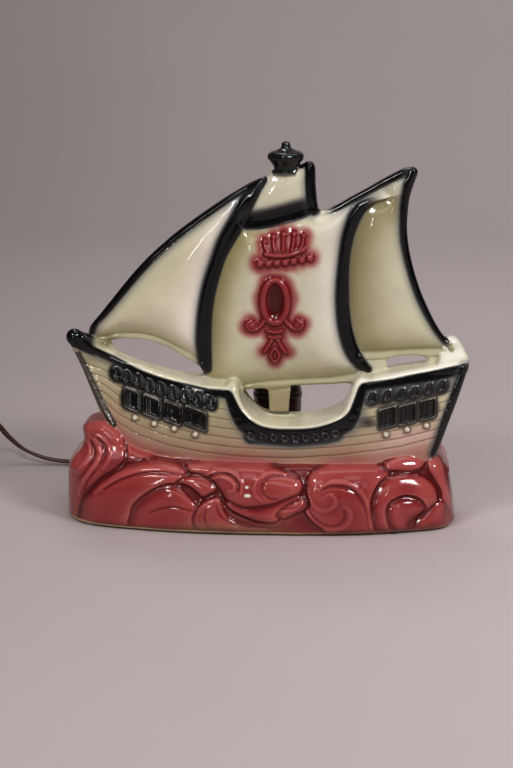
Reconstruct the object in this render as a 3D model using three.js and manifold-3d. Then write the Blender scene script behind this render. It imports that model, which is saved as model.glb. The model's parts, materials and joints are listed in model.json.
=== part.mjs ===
// Ceramic television lamp: a sailing ship on scrolled waves, with a screw-base
// lamp socket behind the main sail. Units are millimetres, +Z is up, the front
// of the lamp faces -Y and the ship's bow points to -X. Pieces are placed about
// a point on the table under the middle of the base; at the end the whole lamp
// is shifted so that the origin is under the middle of its bounding box.
import * as THREE from "three";
import { mergeVertices } from "three/addons/utils/BufferGeometryUtils.js";
import Module from "manifold-3d";

// ---------------------------------------------------------------- dimensions
const GAP = 0.3; // clearance between touching pieces
const PAD = { radius: 4.2, thickness: 1.2 }; // felt pads
const FOOT_Z = PAD.thickness + GAP; // underside of the ceramic foot
const WALL = 5.5; // casting wall
const SAIL_T = 7; // sail thickness
const BASE_BACK = 52; // rear wall of the base, +Y
const BASE_CEILING = 42.5; // top of the hollow in the base
const LEDGE_Z = 48; // top of the ledge behind the hull
const HULL_BACK = 12; // rear face of the hull, +Y

const SOCKET = { x: 11, y: 36 }; // axis of socket and bulb
const NIPPLE = { ro: 4.85, ri: 3.4, z0: 34, z1: 61 };
const NIPPLE_BORE = NIPPLE.ro + GAP; // hole that passes the nipple
const WASHER = { radius: 10.5, thickness: 1.2 };
const LOCKNUT = { radius: 8, thickness: 3 };
const CAP = { r0: 17, r1: 18.2, z0: 53, z1: 83.6, screwZ: 58.2 };
const SHELL = { r: 17, ri: 15, z0: 84, z1: 119 };
const BLOCK = { r: 14.2, z0: 73, z1: 93.5 };
const E26 = { r: 14.1, z0: 95, pitch: 3.6, turns: 5.5 };
const TERMINAL = { x: 9.7, z: BLOCK.z0 + 2.8 };
const KNOB = { y: 26, z: 90, r: 8.2, halfLength: 5.3 };
const SHAFT_R = 1.95;
const ROTOR_Y = 10.5;
const BULB = { tip: 97.4, r: 30, wall: 0.9, top: 205 }; // tip: base contact, top: crown

const CORD = { t: 2.7, w: 5.2, steps: 76 }; // flat two-core cord
const CORD_EXIT = { x: -62, z: 11 }; // hole in the rear wall
const PLUG = { x: -243, y: 8, r: 12.5, bladeX: 6.35 };

// ------------------------------------------------- casting outlines and tables
// Closed outline of the sails, deck end included: [x, z].
const SAILS = [
  [-120.9, 130.3], [-122.7, 133.2], [-122.2, 138.4], [-114.8, 147.3], [-107.4, 156.6],
  [-100, 165.8], [-92.7, 174.8], [-85.3, 183.2], [-78.1, 190.7], [-70.8, 197.4], [-63.6, 203.8],
  [-56.5, 209.6], [-49.3, 215], [-42.2, 220.2], [-35, 225.3], [-27.9, 230.2], [-20.9, 234.8],
  [-13.8, 239.1], [-6.8, 243.1], [-1.1, 245.9], [3.8, 247.8], [7.3, 248.8], [9, 252],
  [21.3, 253.5], [30.4, 256.8], [32.4, 258.2], [35.2, 258.7], [37.7, 257.5], [39, 255.1],
  [39.3, 250.2], [39.4, 244.6], [39.9, 238.2], [40.6, 231.2], [41.4, 225.9], [43.2, 224.2],
  [46.7, 224.7], [51.6, 226.9], [56.5, 229.4], [63.4, 233.6], [70.4, 237.5], [77.3, 241.4],
  [84.2, 245.6], [91.1, 249.5], [98, 253.1], [102.1, 254.7], [106.2, 255.3], [109, 254.5],
  [110.5, 252.2], [110, 249.1], [108.5, 245.2], [107.1, 241], [105.8, 236.8], [104.8, 231.9],
  [104.2, 226.2], [103.8, 219.9], [103.7, 213.5], [104.1, 207.2], [104.9, 200.8], [106.1, 194.4],
  [107.6, 188], [109.6, 180.8], [111.7, 174.4], [114.1, 167.6], [117, 160.8], [120, 154.4],
  [123.6, 147.2], [127.4, 140.7], [131, 135.7], [134.2, 132.8], [139.2, 130.7], [139.3, 121],
  [120, 104], [77, 92], [66, 62], [-18, 62], [-24, 92], [-60, 98], [-104, 112],
];
// Openings through the sails, [x, z]: under the jib, under the mizzen, and two at the waist.
const SAIL_OPENINGS = [
  [
    [-106.8, 127.6], [-102.8, 129.3], [-97.7, 130], [-89, 129.8], [-79.4, 128.5], [-71.7, 126.3],
    [-65.7, 124], [-56.5, 118.5], [-47.4, 113], [-41.8, 109], [-42.3, 104], [-54.6, 103.5],
    [-70.5, 107], [-87.1, 112], [-100, 118],
  ],
  [
    [90.9, 115.6], [92.6, 118.1], [96.9, 119.8], [101.8, 120.6], [107.5, 120.9], [113.9, 120.6],
    [118.2, 119.4], [119.7, 117.4], [117, 112.5], [105, 109], [94, 109],
  ],
  [
    [-15.5, 93.2], [-9.1, 94.2], [-4, 94.7], [1.1, 95], [5, 94.1], [6.6, 90.2], [6.6, 71],
    [0.3, 69], [-8.7, 74], [-14, 82],
  ],
  [
    [22.4, 94.5], [24.1, 97.4], [29.1, 97.8], [39.9, 98.4], [50.7, 98.9], [61.5, 99.5],
    [67.4, 98.7], [68.6, 94], [65.4, 82], [54.5, 73], [39.4, 69], [22.4, 70.5],
  ],
];
// Forward bulges of the jib, main sail, mizzen and topsail. Each is an ellipse
// about x, z whose axis shifts in X by lean for each millimetre of height.
const BULGES = [
  { height: 11, x: -62, z: 162, radiusX: 46, radiusZ: 74, lean: 0.42 },
  { height: 14, x: 15, z: 160, radiusX: 56, radiusZ: 84, lean: 0.02 },
  { height: 10, x: 90, z: 172, radiusX: 38, radiusZ: 74, lean: -0.08 },
  { height: 5, x: 16, z: 236, radiusX: 24, radiusZ: 22, lean: 0 },
];
// Raised bars on the front of the sails. proud is how far a bar stands out,
// depth its half depth along Y, and line its stations [x, z, half width].
const SAIL_RIMS = [
  // Upper left edge, from the jib to the masthead.
  { proud: 1.5, depth: 4.6, line: [
    [-120.2, 133.5, 2.2], [-117.8, 142.1, 2.4], [-98.6, 164.7, 2.7], [-83.9, 181.9, 2.7],
    [-69.4, 195.9, 2.5], [-55, 207.9, 2.3], [-40.8, 218.5, 2.2], [-26.6, 228.4, 2],
    [-10.8, 238.4, 1.8], [2.5, 244.5, 2],
  ] },
  // Top edge of the mizzen.
  { proud: 1.3, depth: 4.4, line: [
    [45, 221.6, 2.2], [64.8, 232, 2.2], [78.7, 239.5, 2.2], [92.5, 247, 2.2],
    [104.5, 252.3, 2.4],
  ] },
  // Right edge of the mizzen.
  { proud: 1.6, depth: 4.7, line: [
    [107.2, 252, 2.7], [104.7, 243.8, 2.9], [102.8, 235.4, 2.8], [101.4, 224.8, 2.6],
    [101.2, 213.5, 2.5], [102.2, 203.6, 2.5], [104.7, 192.2, 2.5], [108.1, 180.1, 2.5],
    [112.6, 168, 2.7], [118.1, 155.8, 2.8], [124.7, 144.3, 2.8], [131.3, 133.4, 2.4],
    [136.8, 127, 2.2],
  ] },
  // Right edge of the topsail.
  { proud: 1.8, depth: 4.6, line: [
    [35.6, 254.6, 2.9], [36.3, 248.8, 3], [36.6, 239.6, 3], [37.4, 231.2, 3], [38.4, 222, 2.8],
  ] },
  // Bar between the topsail and the main sail.
  { proud: 2.2, depth: 4.6, line: [
    [-8.9, 214.8, 4.4], [7.3, 217.2, 4.8], [16.5, 219.6, 4.8], [26.3, 222.6, 4.8],
    [36, 225.5, 4.4],
  ] },
  // Left edge of the main sail.
  { proud: 3.2, depth: 5, line: [
    [1.5, 244.9, 3.4], [-8.1, 230.7, 4.6], [-14.8, 216.5, 5], [-23.3, 202.1, 5],
    [-29.6, 187.7, 4.4], [-34.3, 173.2, 4.6], [-37.6, 158.6, 4.7], [-39.3, 144, 4.9],
    [-40, 129.4, 5], [-39.6, 118.3, 4.7], [-38.4, 103, 4],
  ] },
  // Right edge of the main sail.
  { proud: 3.2, depth: 5, line: [
    [90, 233.6, 1.2], [83, 231.9, 1.8], [76.8, 229.5, 2.9], [71.6, 225.9, 3.8],
    [67.8, 220.9, 4.1], [64.9, 213.8, 4], [62.2, 204.5, 3.7], [60.4, 192.4, 3.5],
    [59.3, 178, 3.7], [59, 163.6, 4.2], [59.6, 151.3, 4.3], [61.2, 139.7, 4.4],
    [64.1, 128.8, 4.5], [68, 120.1, 4.3], [72.7, 112.5, 3.8], [78, 106, 2.5],
  ] },
];
// Relief on the main sail, with the same columns: bead row, coronet, oval,
// left and right scrolls, and lozenge.
const ORNAMENT = [
  { proud: 2, depth: 3, line: [[3, 196.5, 2.6], [15, 198, 3], [27, 199.8, 3], [39, 203.5, 2.6]] },
  { proud: 2, depth: 3, line: [[8, 206, 1.8], [16, 210, 4.5], [26, 211.5, 4.8], [33, 207, 1.8]] },
  { proud: 1.8, depth: 3, line: [
    [13.2, 191.5, 2], [13.2, 186, 8], [13.2, 170, 9.6], [13.2, 160, 8.6], [13.2, 153.5, 2],
  ] },
  { proud: 2, depth: 3, line: [
    [-6.5, 152, 2], [-3.5, 152, 4.2], [1.5, 150, 2.6], [6, 146, 1.4],
  ] },
  { proud: 2, depth: 3, line: [
    [33, 152.6, 2], [30, 152.6, 4.2], [25, 150.5, 2.6], [20.5, 146.5, 1.4],
  ] },
  { proud: 1.8, depth: 3, line: [[12.6, 140, 1], [12.6, 132.2, 3.4], [12.6, 125, 1]] },
];
// Turned crow's nest at the masthead: [radius, height].
const CROWS_NEST = [
  [0, 0], [7.5, 0], [9.2, 2.2], [8.2, 5.4], [10.5, 9.6], [12.9, 12.4], [13.1, 15.4],
  [11.6, 17.2], [6, 17.6], [2.1, 19.2], [2.2, 20.1], [2.9, 21.8], [2.4, 23.6], [0, 24.5],
];
// Rail of the hull from bow to stern, dipping at the waist: [x, z].
const RAIL = [
  [-128.2, 130.4], [-120.8, 127.2], [-113.5, 124.1], [-106.1, 121], [-98.8, 117.9],
  [-91.5, 115], [-84.2, 112.5], [-76.9, 110.2], [-69.6, 108.2], [-62.4, 106.4], [-55.1, 105],
  [-47.8, 103.9], [-40.6, 102.9], [-33.4, 102.3], [-26.2, 102], [-19.8, 101.5], [-17.2, 100],
  [-16, 96], [-14.5, 91.2], [-12, 86.5], [-8.8, 82.2], [-4.6, 78.1], [0, 75], [5.7, 72.9],
  [13.5, 71.8], [23.5, 71.7], [34.1, 72.2], [41.9, 73.3], [49, 75.4], [55.6, 78.1],
  [61.2, 81.3], [65.1, 85.8], [67.1, 90.5], [69, 95.7], [70.5, 100.4], [72, 103.8],
  [74.2, 106.1], [77.4, 107.4], [83.7, 108.8], [93.5, 110.7], [100.5, 112.1], [107.4, 113.5],
  [114.4, 114.7], [121.3, 115.9], [128.3, 117.2], [135.3, 118.5], [142.2, 119.7],
  [147.6, 121.2],
];
// The rest of the hull outline, [x, z]: down the stern, along the keel, up the stem.
const STERN = [
  [148.4, 117.6], [145.8, 108.5], [142.9, 99], [139.7, 89.2], [136.4, 79.6], [133.1, 69.6],
  [130.5, 61.4], [128.5, 55.9], [127.2, 51.4],
];
const KEEL = [[110, 44], [0, 40], [-95, 44]];
const STEM = [
  [-104, 58], [-109.3, 70], [-112.8, 77.5], [-116.3, 84.9], [-119.8, 92.2], [-123.2, 99.6],
  [-126.5, 107], [-129.8, 113.9], [-131.5, 118], [-133.2, 122],
];
// Hollow inside the hull: [x, z].
const HULL_HOLLOW = [
  [-92, 40], [-108, 84], [-116, 108], [-100, 106], [-76, 100], [-48, 96], [-28, 94], [-21, 84],
  [-12, 72], [2, 66], [34, 65], [56, 70], [70, 82], [76, 98], [100, 104], [134, 109],
  [124, 78], [112, 40],
];
// Rounded lump on top of the stern, and the stub ahead of the bow: [x, z].
const STERN_LUMP = [
  [126, 124], [128, 129.5], [131, 132.6], [134.6, 134.3], [138.5, 134.8], [142, 133.2],
  [144.8, 129.6], [147.4, 124.4], [148.6, 119], [146, 112], [126, 110],
];
const BOWSPRIT = [
  [-133.2, 121], [-136.2, 126], [-137.4, 131], [-134, 136.6], [-126, 134.8], [-118, 130.5],
  [-108, 124], [-104, 116], [-126, 112],
];
// Small beads on the front of the hull: [x, z].
const BEADS = [
  [-99.5, 78.8], [-85.5, 74.3], [-71, 70.6], [-55.5, 66.2], [84.5, 66.4], [100, 70], [114, 73],
];
// Arched recesses in the front of the hull: portholes above and gun ports below,
// towards the bow and then towards the stern. Places are [x, z]; lean is the
// rise in Z for each millimetre of X.
const PORTHOLE = { width: 5.6, height: 8 };
const GUN_PORT = { width: 9.5, height: 12 };
const PORTS = [
  { ...PORTHOLE, lean: -0.35, places: [
    [-103.5, 106.6], [-96.2, 104.2], [-89, 101.6], [-81.2, 98.6], [-72.4, 95.4],
    [-63.6, 92.4], [-55, 89.6], [-46.4, 87.2], [-37, 85.4],
  ] },
  { ...GUN_PORT, lean: -0.3, places: [[-94, 89.6], [-79.5, 84.6], [-64.5, 80.6], [-47.5, 76.6]] },
  { ...PORTHOLE, lean: 0.2, places: [
    [73.5, 89.8], [84.5, 92], [94.8, 93.4], [104.8, 95.2], [115.2, 98], [124.4, 100.2],
  ] },
  { ...GUN_PORT, lean: 0.22, places: [[89, 76.6], [103.6, 79], [117.6, 82]] },
];
// Row of small recesses at the waist, rising by sag towards both ends.
const WAIST_ROW = { count: 9, x0: -5, pitch: 7.6, z: 62.6, sag: 0.9, width: 4.6, height: 5 };

// Wave bank: low part, the crest that climbs the bow, and the swell at the stern: [x, z].
const WAVES = [
  [-132, FOOT_Z], [-138, 4.4], [-139.5, 10.2], [-139.7, 17.9], [-139.2, 25.5],
  [-137.9, 33.1], [-135.9, 39.9], [-132.8, 45.3], [-129.8, 48.4], [-110, 50], [-88.7, 52],
  [-60, 49], [-20, 48.6], [20, LEDGE_Z], [60, LEDGE_Z], [100, LEDGE_Z], [129.4, 48.2],
  [131.6, 46.9], [133.2, 41.7], [135.2, 32.8], [137.6, 21.6], [139.4, 10.4], [140.3, 4],
  [138, FOOT_Z],
];
const CREST = [
  [-134, 38], [-132.8, 45.3], [-129.8, 49.5], [-127.5, 52.9], [-126.1, 57.4], [-126.2, 61.9],
  [-127.3, 65.1], [-126.5, 68.1], [-123.5, 70.5], [-119.8, 72], [-115.5, 72.9],
  [-111.1, 72.7], [-106.8, 71.6], [-101.8, 68.3], [-96.8, 64], [-93, 58.8], [-84, 54],
  [-72, 50], [-68, 38],
];
const SWELL = [
  [84, 38], [88, 50], [94, 54.5], [100, 57.4], [108.4, 59.7], [116.8, 58.1], [121, 56.3],
  [125.1, 52.5], [129.4, 50.9], [131.6, 46.9], [134, 38],
];
// Scrolls on the front of the waves: [x, z, half width].
const FOLDS = [
  [[-99, 58, 2], [-98, 50, 3.4], [-103, 41, 4.4], [-112, 32, 4], [-122, 24, 2]],
  [[-120, 12, 2], [-108, 25, 4], [-92, 35, 5], [-76, 39, 5], [-58, 38, 3]],
  [[-88, 7, 2], [-78, 18, 4], [-64, 23, 4.6], [-50, 20, 3]],
  [[-52, 42, 3], [-34, 42.5, 4], [-14, 40, 4], [2, 36, 2.4]],
  [[-38, 20, 2], [-22, 11, 4], [0, 7, 4.6], [22, 9, 3]],
  [[34, 26, 2.4], [42, 36, 4], [58, 40, 4.6], [72, 34, 4.4], [82, 22, 3]],
  [[88, 24, 2.4], [96, 34, 4.2], [108, 37, 4.6], [120, 31, 3]],
];
// Footprint of the base, [x, y]: bowed front, straight back, round corners.
const FOOTPRINT = [
  [-139, 8], [-138, -8], [-134, -20], [-128, -28.4], [-119.4, -36], [-111.6, -40.6],
  [-96.8, -44.4], [-74.8, -48.4], [-52.9, -51.5], [-38.5, -53], [-24.2, -53.8], [-3, -54],
  [32.1, -52.5], [60.3, -50.2], [88.4, -46.4], [102.4, -43.6], [113, -40], [123.7, -35],
  [131, -29], [137, -18], [140, -6], [140.5, 8], [139, 26], [134, 38], [124, 47], [112, 51],
  [96, BASE_BACK], [-94, BASE_BACK], [-110, 51], [-122, 47], [-132, 38], [-137.5, 26],
];
// Hollow inside the base, open below: [x, z].
const BASE_HOLLOW = [
  [-131, -2], [-133, 10], [-132, 30], [-126, BASE_CEILING], [-30, BASE_CEILING],
  [128, BASE_CEILING], [131, 20], [133, -2],
];

// ------------------------------------------------------------- solid helpers
const wasm = await Module();
wasm.setup();

function solid(geometry, weld = 1e-4) {
  const bare = geometry.clone();
  for (const key of Object.keys(bare.attributes)) {
    if (key !== "position") bare.deleteAttribute(key);
  }
  const merged = mergeVertices(bare, weld);
  return new wasm.Manifold(
    new wasm.Mesh({
      numProp: 3,
      vertProperties: new Float32Array(merged.attributes.position.array),
      triVerts: new Uint32Array(merged.index.array),
    }),
  );
}

function geometryOf(manifold) {
  const mesh = manifold.getMesh();
  const positions = new Float32Array(mesh.numVert * 3);
  for (let i = 0; i < mesh.numVert; i++) {
    const start = i * mesh.numProp;
    positions.set(mesh.vertProperties.subarray(start, start + 3), i * 3);
  }
  const geometry = new THREE.BufferGeometry();
  geometry.setAttribute("position", new THREE.BufferAttribute(positions, 3));
  geometry.setIndex(new THREE.BufferAttribute(new Uint32Array(mesh.triVerts), 1));
  geometry.computeVertexNormals();
  return geometry;
}

function cut(geometry, ...tools) {
  return geometryOf(tools.reduce((rest, tool) => rest.subtract(solid(tool)), solid(geometry)));
}

// True when every edge of a closed mesh lies between exactly two faces.
function hasCleanEdges(geometry) {
  const { position } = geometry.attributes;
  const keys = Array.from({ length: position.count }, (_, i) =>
    [position.getX(i), position.getY(i), position.getZ(i)].map((v) => v.toFixed(3)).join(),
  );
  const faceCounts = new Map();
  for (let i = 0; i < geometry.index.count; i += 3) {
    const corners = [0, 1, 2].map((k) => keys[geometry.index.getX(i + k)]);
    if (new Set(corners).size < 3) continue;
    for (let k = 0; k < 3; k++) {
      const edge = [corners[k], corners[(k + 1) % 3]].sort().join("|");
      faceCounts.set(edge, (faceCounts.get(edge) || 0) + 1);
    }
  }
  return [...faceCounts.values()].every((count) => count === 2);
}

const vector = ([x, y, z]) => new THREE.Vector3(x, y, z);
const curveThrough = (points) => new THREE.CatmullRomCurve3(points.map(vector));
const shapeOf = (points) => new THREE.Shape(points.map(([a, b]) => new THREE.Vector2(a, b)));

// Outline in X and Z, extruded along Y from y0 to y1, with optional rounded edges.
function slab(points, y0, y1, bevel = 0) {
  const geometry = new THREE.ExtrudeGeometry(shapeOf(points), {
    depth: y1 - y0 - 2 * bevel,
    bevelEnabled: bevel > 0,
    bevelSize: bevel,
    bevelThickness: bevel,
    bevelOffset: -bevel,
    bevelSegments: 2,
    steps: 1,
  });
  return geometry.rotateX(Math.PI / 2).translate(0, y1 - bevel, 0);
}

// Outline in X and Y, extruded along Z from z0 to z1.
function column(points, z0, z1) {
  const options = { depth: z1 - z0, bevelEnabled: false, steps: 1 };
  return new THREE.ExtrudeGeometry(shapeOf(points), options).translate(0, 0, z0);
}

// A box whose front and rear faces follow two functions of X and Z.
function curvedBox({ x: [x0, x1], z: [z0, z1], segments: [nx, nz], front, back }) {
  const geometry = new THREE.BoxGeometry(x1 - x0, 1, z1 - z0, nx, 1, nz);
  geometry.translate((x0 + x1) / 2, 0, (z0 + z1) / 2);
  const { position } = geometry.attributes;
  for (let i = 0; i < position.count; i++) {
    const face = position.getY(i) < 0 ? front : back;
    position.setY(i, face(position.getX(i), position.getZ(i)));
  }
  return geometry;
}

// Joins equal rings of points into a closed skin. wall gives the two triangles
// between neighbours a, b on one ring and c, d on the next; caps are the
// triangles of the first end, turned over for the last one.
function loft(positions, sides, wall, caps) {
  const rings = positions.length / 3 / sides;
  const indices = [];
  for (let i = 0; i + 1 < rings; i++) {
    for (let k = 0; k < sides; k++) {
      const a = i * sides + k;
      const b = i * sides + ((k + 1) % sides);
      indices.push(...wall(a, b, a + sides, b + sides));
    }
  }
  const end = (rings - 1) * sides;
  for (const [a, b, c] of caps) {
    indices.push(a, b, c);
    indices.push(end + a, end + c, end + b);
  }
  const geometry = new THREE.BufferGeometry();
  geometry.setAttribute("position", new THREE.Float32BufferAttribute(positions, 3));
  geometry.setIndex(indices);
  return geometry;
}

// A closed bar swept through stations [x, y, z, half width, half depth along Y],
// along a path that runs in X and Z.
function bar(stations, sides) {
  const positions = [];
  stations.forEach(([x, y, z, halfWidth, halfDepth], i) => {
    const before = stations[Math.max(0, i - 1)];
    const after = stations[Math.min(stations.length - 1, i + 1)];
    const along = vector([after[0] - before[0], 0, after[2] - before[2]]).normalize();
    const side = vector([0, 1, 0]).cross(along);
    for (let k = 0; k < sides; k++) {
      const angle = (2 * Math.PI * (k + 0.5)) / sides;
      positions.push(
        x + side.x * halfWidth * Math.cos(angle),
        y + halfDepth * Math.sin(angle),
        z + side.z * halfWidth * Math.cos(angle),
      );
    }
  });
  const caps = Array.from({ length: sides - 2 }, (_, i) => [0, i + 2, i + 1]);
  return loft(positions, sides, (a, b, c, d) => [a, b, c, b, d, c], caps);
}

// A closed strip swept along a space curve. section is a list of [across, up]
// pairs, and ups gives the up direction at each point.
function sweep(points, section, ups) {
  const positions = [];
  points.forEach((point, i) => {
    const after = points[Math.min(points.length - 1, i + 1)];
    const along = after.clone().sub(points[Math.max(0, i - 1)]).normalize();
    const across = along.clone().cross(ups[i]).normalize();
    const up = across.clone().cross(along).normalize();
    for (const [a, b] of section) {
      positions.push(...point.clone().addScaledVector(across, a).addScaledVector(up, b));
    }
  });
  const outline = section.map(([a, b]) => new THREE.Vector2(a, b));
  const caps = THREE.ShapeUtils.triangulateShape(outline, []);
  return loft(positions, section.length, (a, b, c, d) => [a, c, b, b, c, d], caps);
}

// Points round a circle, with the radius a function of step and angle.
function polar(count, radiusAt) {
  return Array.from({ length: count }, (_, i) => {
    const angle = (2 * Math.PI * i) / count;
    const radius = radiusAt(i, angle);
    return [radius * Math.cos(angle), radius * Math.sin(angle)];
  });
}

// A round wire along a list of points, keeping one up direction.
function wire(points, radius, sides, up = [0, 1, 0]) {
  return sweep(points, polar(sides, () => radius), points.map(() => vector(up)));
}

// A turned piece: profile points [radius, height] round the Z axis.
function turned(profile, sides = 32) {
  const points = profile.map(([r, z]) => new THREE.Vector2(r, z));
  return new THREE.LatheGeometry(points, sides).rotateX(Math.PI / 2);
}

const tube = (ro, ri, z0, z1, sides) =>
  turned([[ri, z0], [ro, z0], [ro, z1], [ri, z1], [ri, z0]], sides);

// Cylinders along each axis, centred on their own middle.
const rodY = (radius, length, sides) => new THREE.CylinderGeometry(radius, radius, length, sides);
const rodX = (radius, length, sides) => rodY(radius, length, sides).rotateZ(Math.PI / 2);
const rodZ = (radius, length, sides) => rodY(radius, length, sides).rotateX(Math.PI / 2);

const box = (size, centre) => new THREE.BoxGeometry(...size).translate(...centre);

// ---------------------------------------------------------- casting surfaces
const clamp01 = (t) => Math.min(1, Math.max(0, t));
const smooth = (t) => t * t * (3 - 2 * t);

// Forward billow of the sails at X, Z.
function billow(x, z) {
  const rises = BULGES.map((bulge) => {
    const u = (x - bulge.x - bulge.lean * (z - bulge.z)) / bulge.radiusX;
    const v = (z - bulge.z) / bulge.radiusZ;
    const s = u * u + v * v;
    return s >= 1 ? 0 : bulge.height * ((1 - s) * (1 - s * 0.35));
  });
  return Math.max(...rises);
}
const sailFront = (x, z) => -SAIL_T / 2 - billow(x, z);
const sailBack = (x, z) => SAIL_T / 2 - 0.85 * billow(x, z);

// Front of the hull: the rail leans out towards the waist, and the belly swells.
function hullFront(x, z) {
  const rail =
    x < -25 ? -9 - 18 * smooth(clamp01((x + 134) / 109)) : -27 + 5 * smooth(clamp01((x - 60) / 85));
  const low = -9 - 25 * Math.pow(clamp01(1 - Math.pow(Math.abs(x - 10) / 150, 2.2)), 0.8);
  const t = clamp01((112 - z) / 60);
  return rail + (low - rail) * smooth(t) - 3.5 * Math.sin(Math.PI * t);
}
// Rear of the hull: it comes forward at the bow and at the stern.
const hullBack = (x) =>
  HULL_BACK - 5 * Math.pow(clamp01(-(x + 60) / 75), 1.5) - 2 * clamp01((x - 90) / 55);

// Front of the wave bank: bowed in plan, leaning back with height.
function waveFront(x, z) {
  const plan = -54 + 27 * Math.pow(Math.abs(x + 4) / 140, 2.4);
  const t = clamp01(z / 58);
  return plan + 17 * t * t;
}

// --------------------------------------------------------- parts of the casting
function makeSails() {
  const sheet = curvedBox({
    x: [-130, 142], z: [60, 262], segments: [24, 18], front: sailFront, back: sailBack,
  });
  return SAIL_OPENINGS.reduce(
    (sails, opening) => sails.subtract(solid(slab(opening, -30, 30))),
    solid(slab(SAILS, -24, 24)).intersect(solid(sheet)),
  );
}

function makeRim({ proud, depth, line }) {
  const stations = line.map(([x, z, halfWidth]) => [
    x, sailFront(x, z) + depth - proud, z, halfWidth, depth,
  ]);
  return solid(bar(stations, 8));
}

function makeHull() {
  const block = curvedBox({
    x: [-150, 155], z: [36, 140], segments: [24, 7], front: hullFront, back: hullBack,
  });
  return solid(slab([...RAIL, ...STERN, ...KEEL, ...STEM], -60, 40)).intersect(solid(block));
}

function makeHullHollow() {
  const block = curvedBox({
    x: [-150, 155], z: [36, 140], segments: [20, 6],
    front: (x, z) => hullFront(x, z) + WALL,
    back: (x) => hullBack(x) - WALL,
  });
  return solid(slab(HULL_HOLLOW, -60, 40)).intersect(solid(block));
}

function makeBank() {
  const block = curvedBox({
    x: [-150, 155], z: [-2, 60], segments: [20, 5], front: waveFront, back: () => 70,
  });
  return solid(slab(WAVES, -62, 60))
    .intersect(solid(column(FOOTPRINT, 0, 60)))
    .intersect(solid(block));
}

// A wave that rises above the bank, its front just behind the bank's.
function makeHighWave(outline, yBack, xRange) {
  const block = curvedBox({
    x: xRange, z: [30, 80], segments: [8, 6], front: (x, z) => waveFront(x, z) + 3, back: () => 20,
  });
  return solid(slab(outline, -34, yBack, 4)).intersect(solid(block));
}

function makeFold(line) {
  const stations = line.map(([x, z, halfWidth]) => [x, waveFront(x, z) + 2.2, z, halfWidth, 5]);
  return solid(bar(stations, 6));
}

function makeBaseHollow() {
  // Points move towards the centre by more than the wall, as they don't move square to it.
  const inset = FOOTPRINT.map(([x, y]) => {
    const reach = Math.hypot(x, y);
    const scale = (reach - WALL * 1.15) / reach;
    return [x * scale, y * scale];
  });
  const block = curvedBox({
    x: [-150, 155], z: [-4, 60], segments: [26, 4],
    front: (x, z) => waveFront(x, z) + WALL + 0.5,
    back: () => BASE_BACK - WALL,
  });
  return solid(slab(BASE_HOLLOW, -62, 60))
    .intersect(solid(column(inset, -2, 60)))
    .intersect(solid(block));
}

// A shallow arched recess in the front of the hull.
function makeRecess(x, z, { width, height, lean }) {
  const outline = [
    [-width / 2, -height / 2], [width / 2, -height / 2], [width / 2, height * 0.2],
    [width * 0.3, height / 2], [-width * 0.3, height / 2], [-width / 2, height * 0.2],
  ].map(([a, b]) => [a, b + lean * a]);
  return solid(slab(outline, -3, 1.6).translate(x, hullFront(x, z), z));
}

function makeRecesses() {
  const recesses = PORTS.flatMap((port) => port.places.map(([x, z]) => makeRecess(x, z, port)));
  const { count, x0, pitch, z, sag, width, height } = WAIST_ROW;
  const middle = (count - 1) / 2;
  for (let i = 0; i < count; i++) {
    const rise = sag * Math.pow(Math.abs(i - middle) / middle, 2);
    recesses.push(makeRecess(x0 + i * pitch, z + rise, { width, height, lean: 0 }));
  }
  return recesses;
}

const makeBead = ([x, z]) =>
  solid(new THREE.SphereGeometry(2, 8, 6).translate(x, hullFront(x, z) + 0.2, z));

const largestPart = (shape) => shape.decompose().sort((a, b) => b.volume() - a.volume())[0];

// Keeps the one casting, without any pocket sealed between two folds, and
// simplifies it as far as its edges stay clean.
function tidyCasting(body) {
  for (const tolerance of [0.16, 0.15, 0.14, 0.12, 0.1, 0.08, 0.06, 0.05, 0.04, 0.03, 0.02]) {
    const simple = geometryOf(largestPart(body).simplify(tolerance));
    const geometry = geometryOf(largestPart(solid(simple, 1e-3)));
    if (hasCleanEdges(geometry)) return geometry;
  }
  throw new Error("the casting has an edge that more than two faces share");
}

function makeCeramic() {
  const additions = [
    ...SAIL_RIMS.map(makeRim),
    ...ORNAMENT.map(makeRim),
    solid(turned(CROWS_NEST, 20).translate(18.4, 0, 248.2)),
    solid(slab(STERN_LUMP, -21.5, 9, 3)),
    solid(new THREE.SphereGeometry(5.6, 16, 10).translate(-132.2, -7, 131.6)), // bow knob
    solid(slab(BOWSPRIT, -13, 1, 2.5)),
    makeHull(),
    makeBank(),
    makeHighWave(CREST, 14, [-150, -50]),
    makeHighWave(SWELL, 12, [70, 150]),
    ...FOLDS.map(makeFold),
    ...BEADS.map(makeBead),
  ];
  const removals = [
    ...makeRecesses(),
    makeHullHollow(),
    makeBaseHollow(),
    // Hole for the mounting nipple, and the cord hole in the rear wall.
    solid(rodZ(5.4, 24, 24).translate(SOCKET.x, SOCKET.y, 44)),
    solid(rodY(5, 30, 24).translate(CORD_EXIT.x, BASE_BACK - 4, CORD_EXIT.z)),
  ];
  let body = makeSails();
  for (const part of additions) body = body.add(part);
  for (const part of removals) body = body.subtract(part);
  return tidyCasting(body);
}

function makeFeltPad() {
  const { radius, thickness } = PAD;
  return turned([[0, 0], [radius - 0.3, 0], [radius, 0.35], [radius, thickness], [0, thickness]], 20);
}

// -------------------------------------------------------------- socket pieces
const makeWasher = (z0) =>
  tube(WASHER.radius, NIPPLE_BORE, z0, z0 + WASHER.thickness, 28);

function makeLocknut(z0) {
  const { radius, thickness } = LOCKNUT;
  const middle = z0 + thickness / 2;
  return cut(
    rodZ(radius, thickness, 6).translate(0, 0, middle),
    rodZ(NIPPLE_BORE, thickness + 4, 24).translate(0, 0, middle),
  );
}

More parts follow.
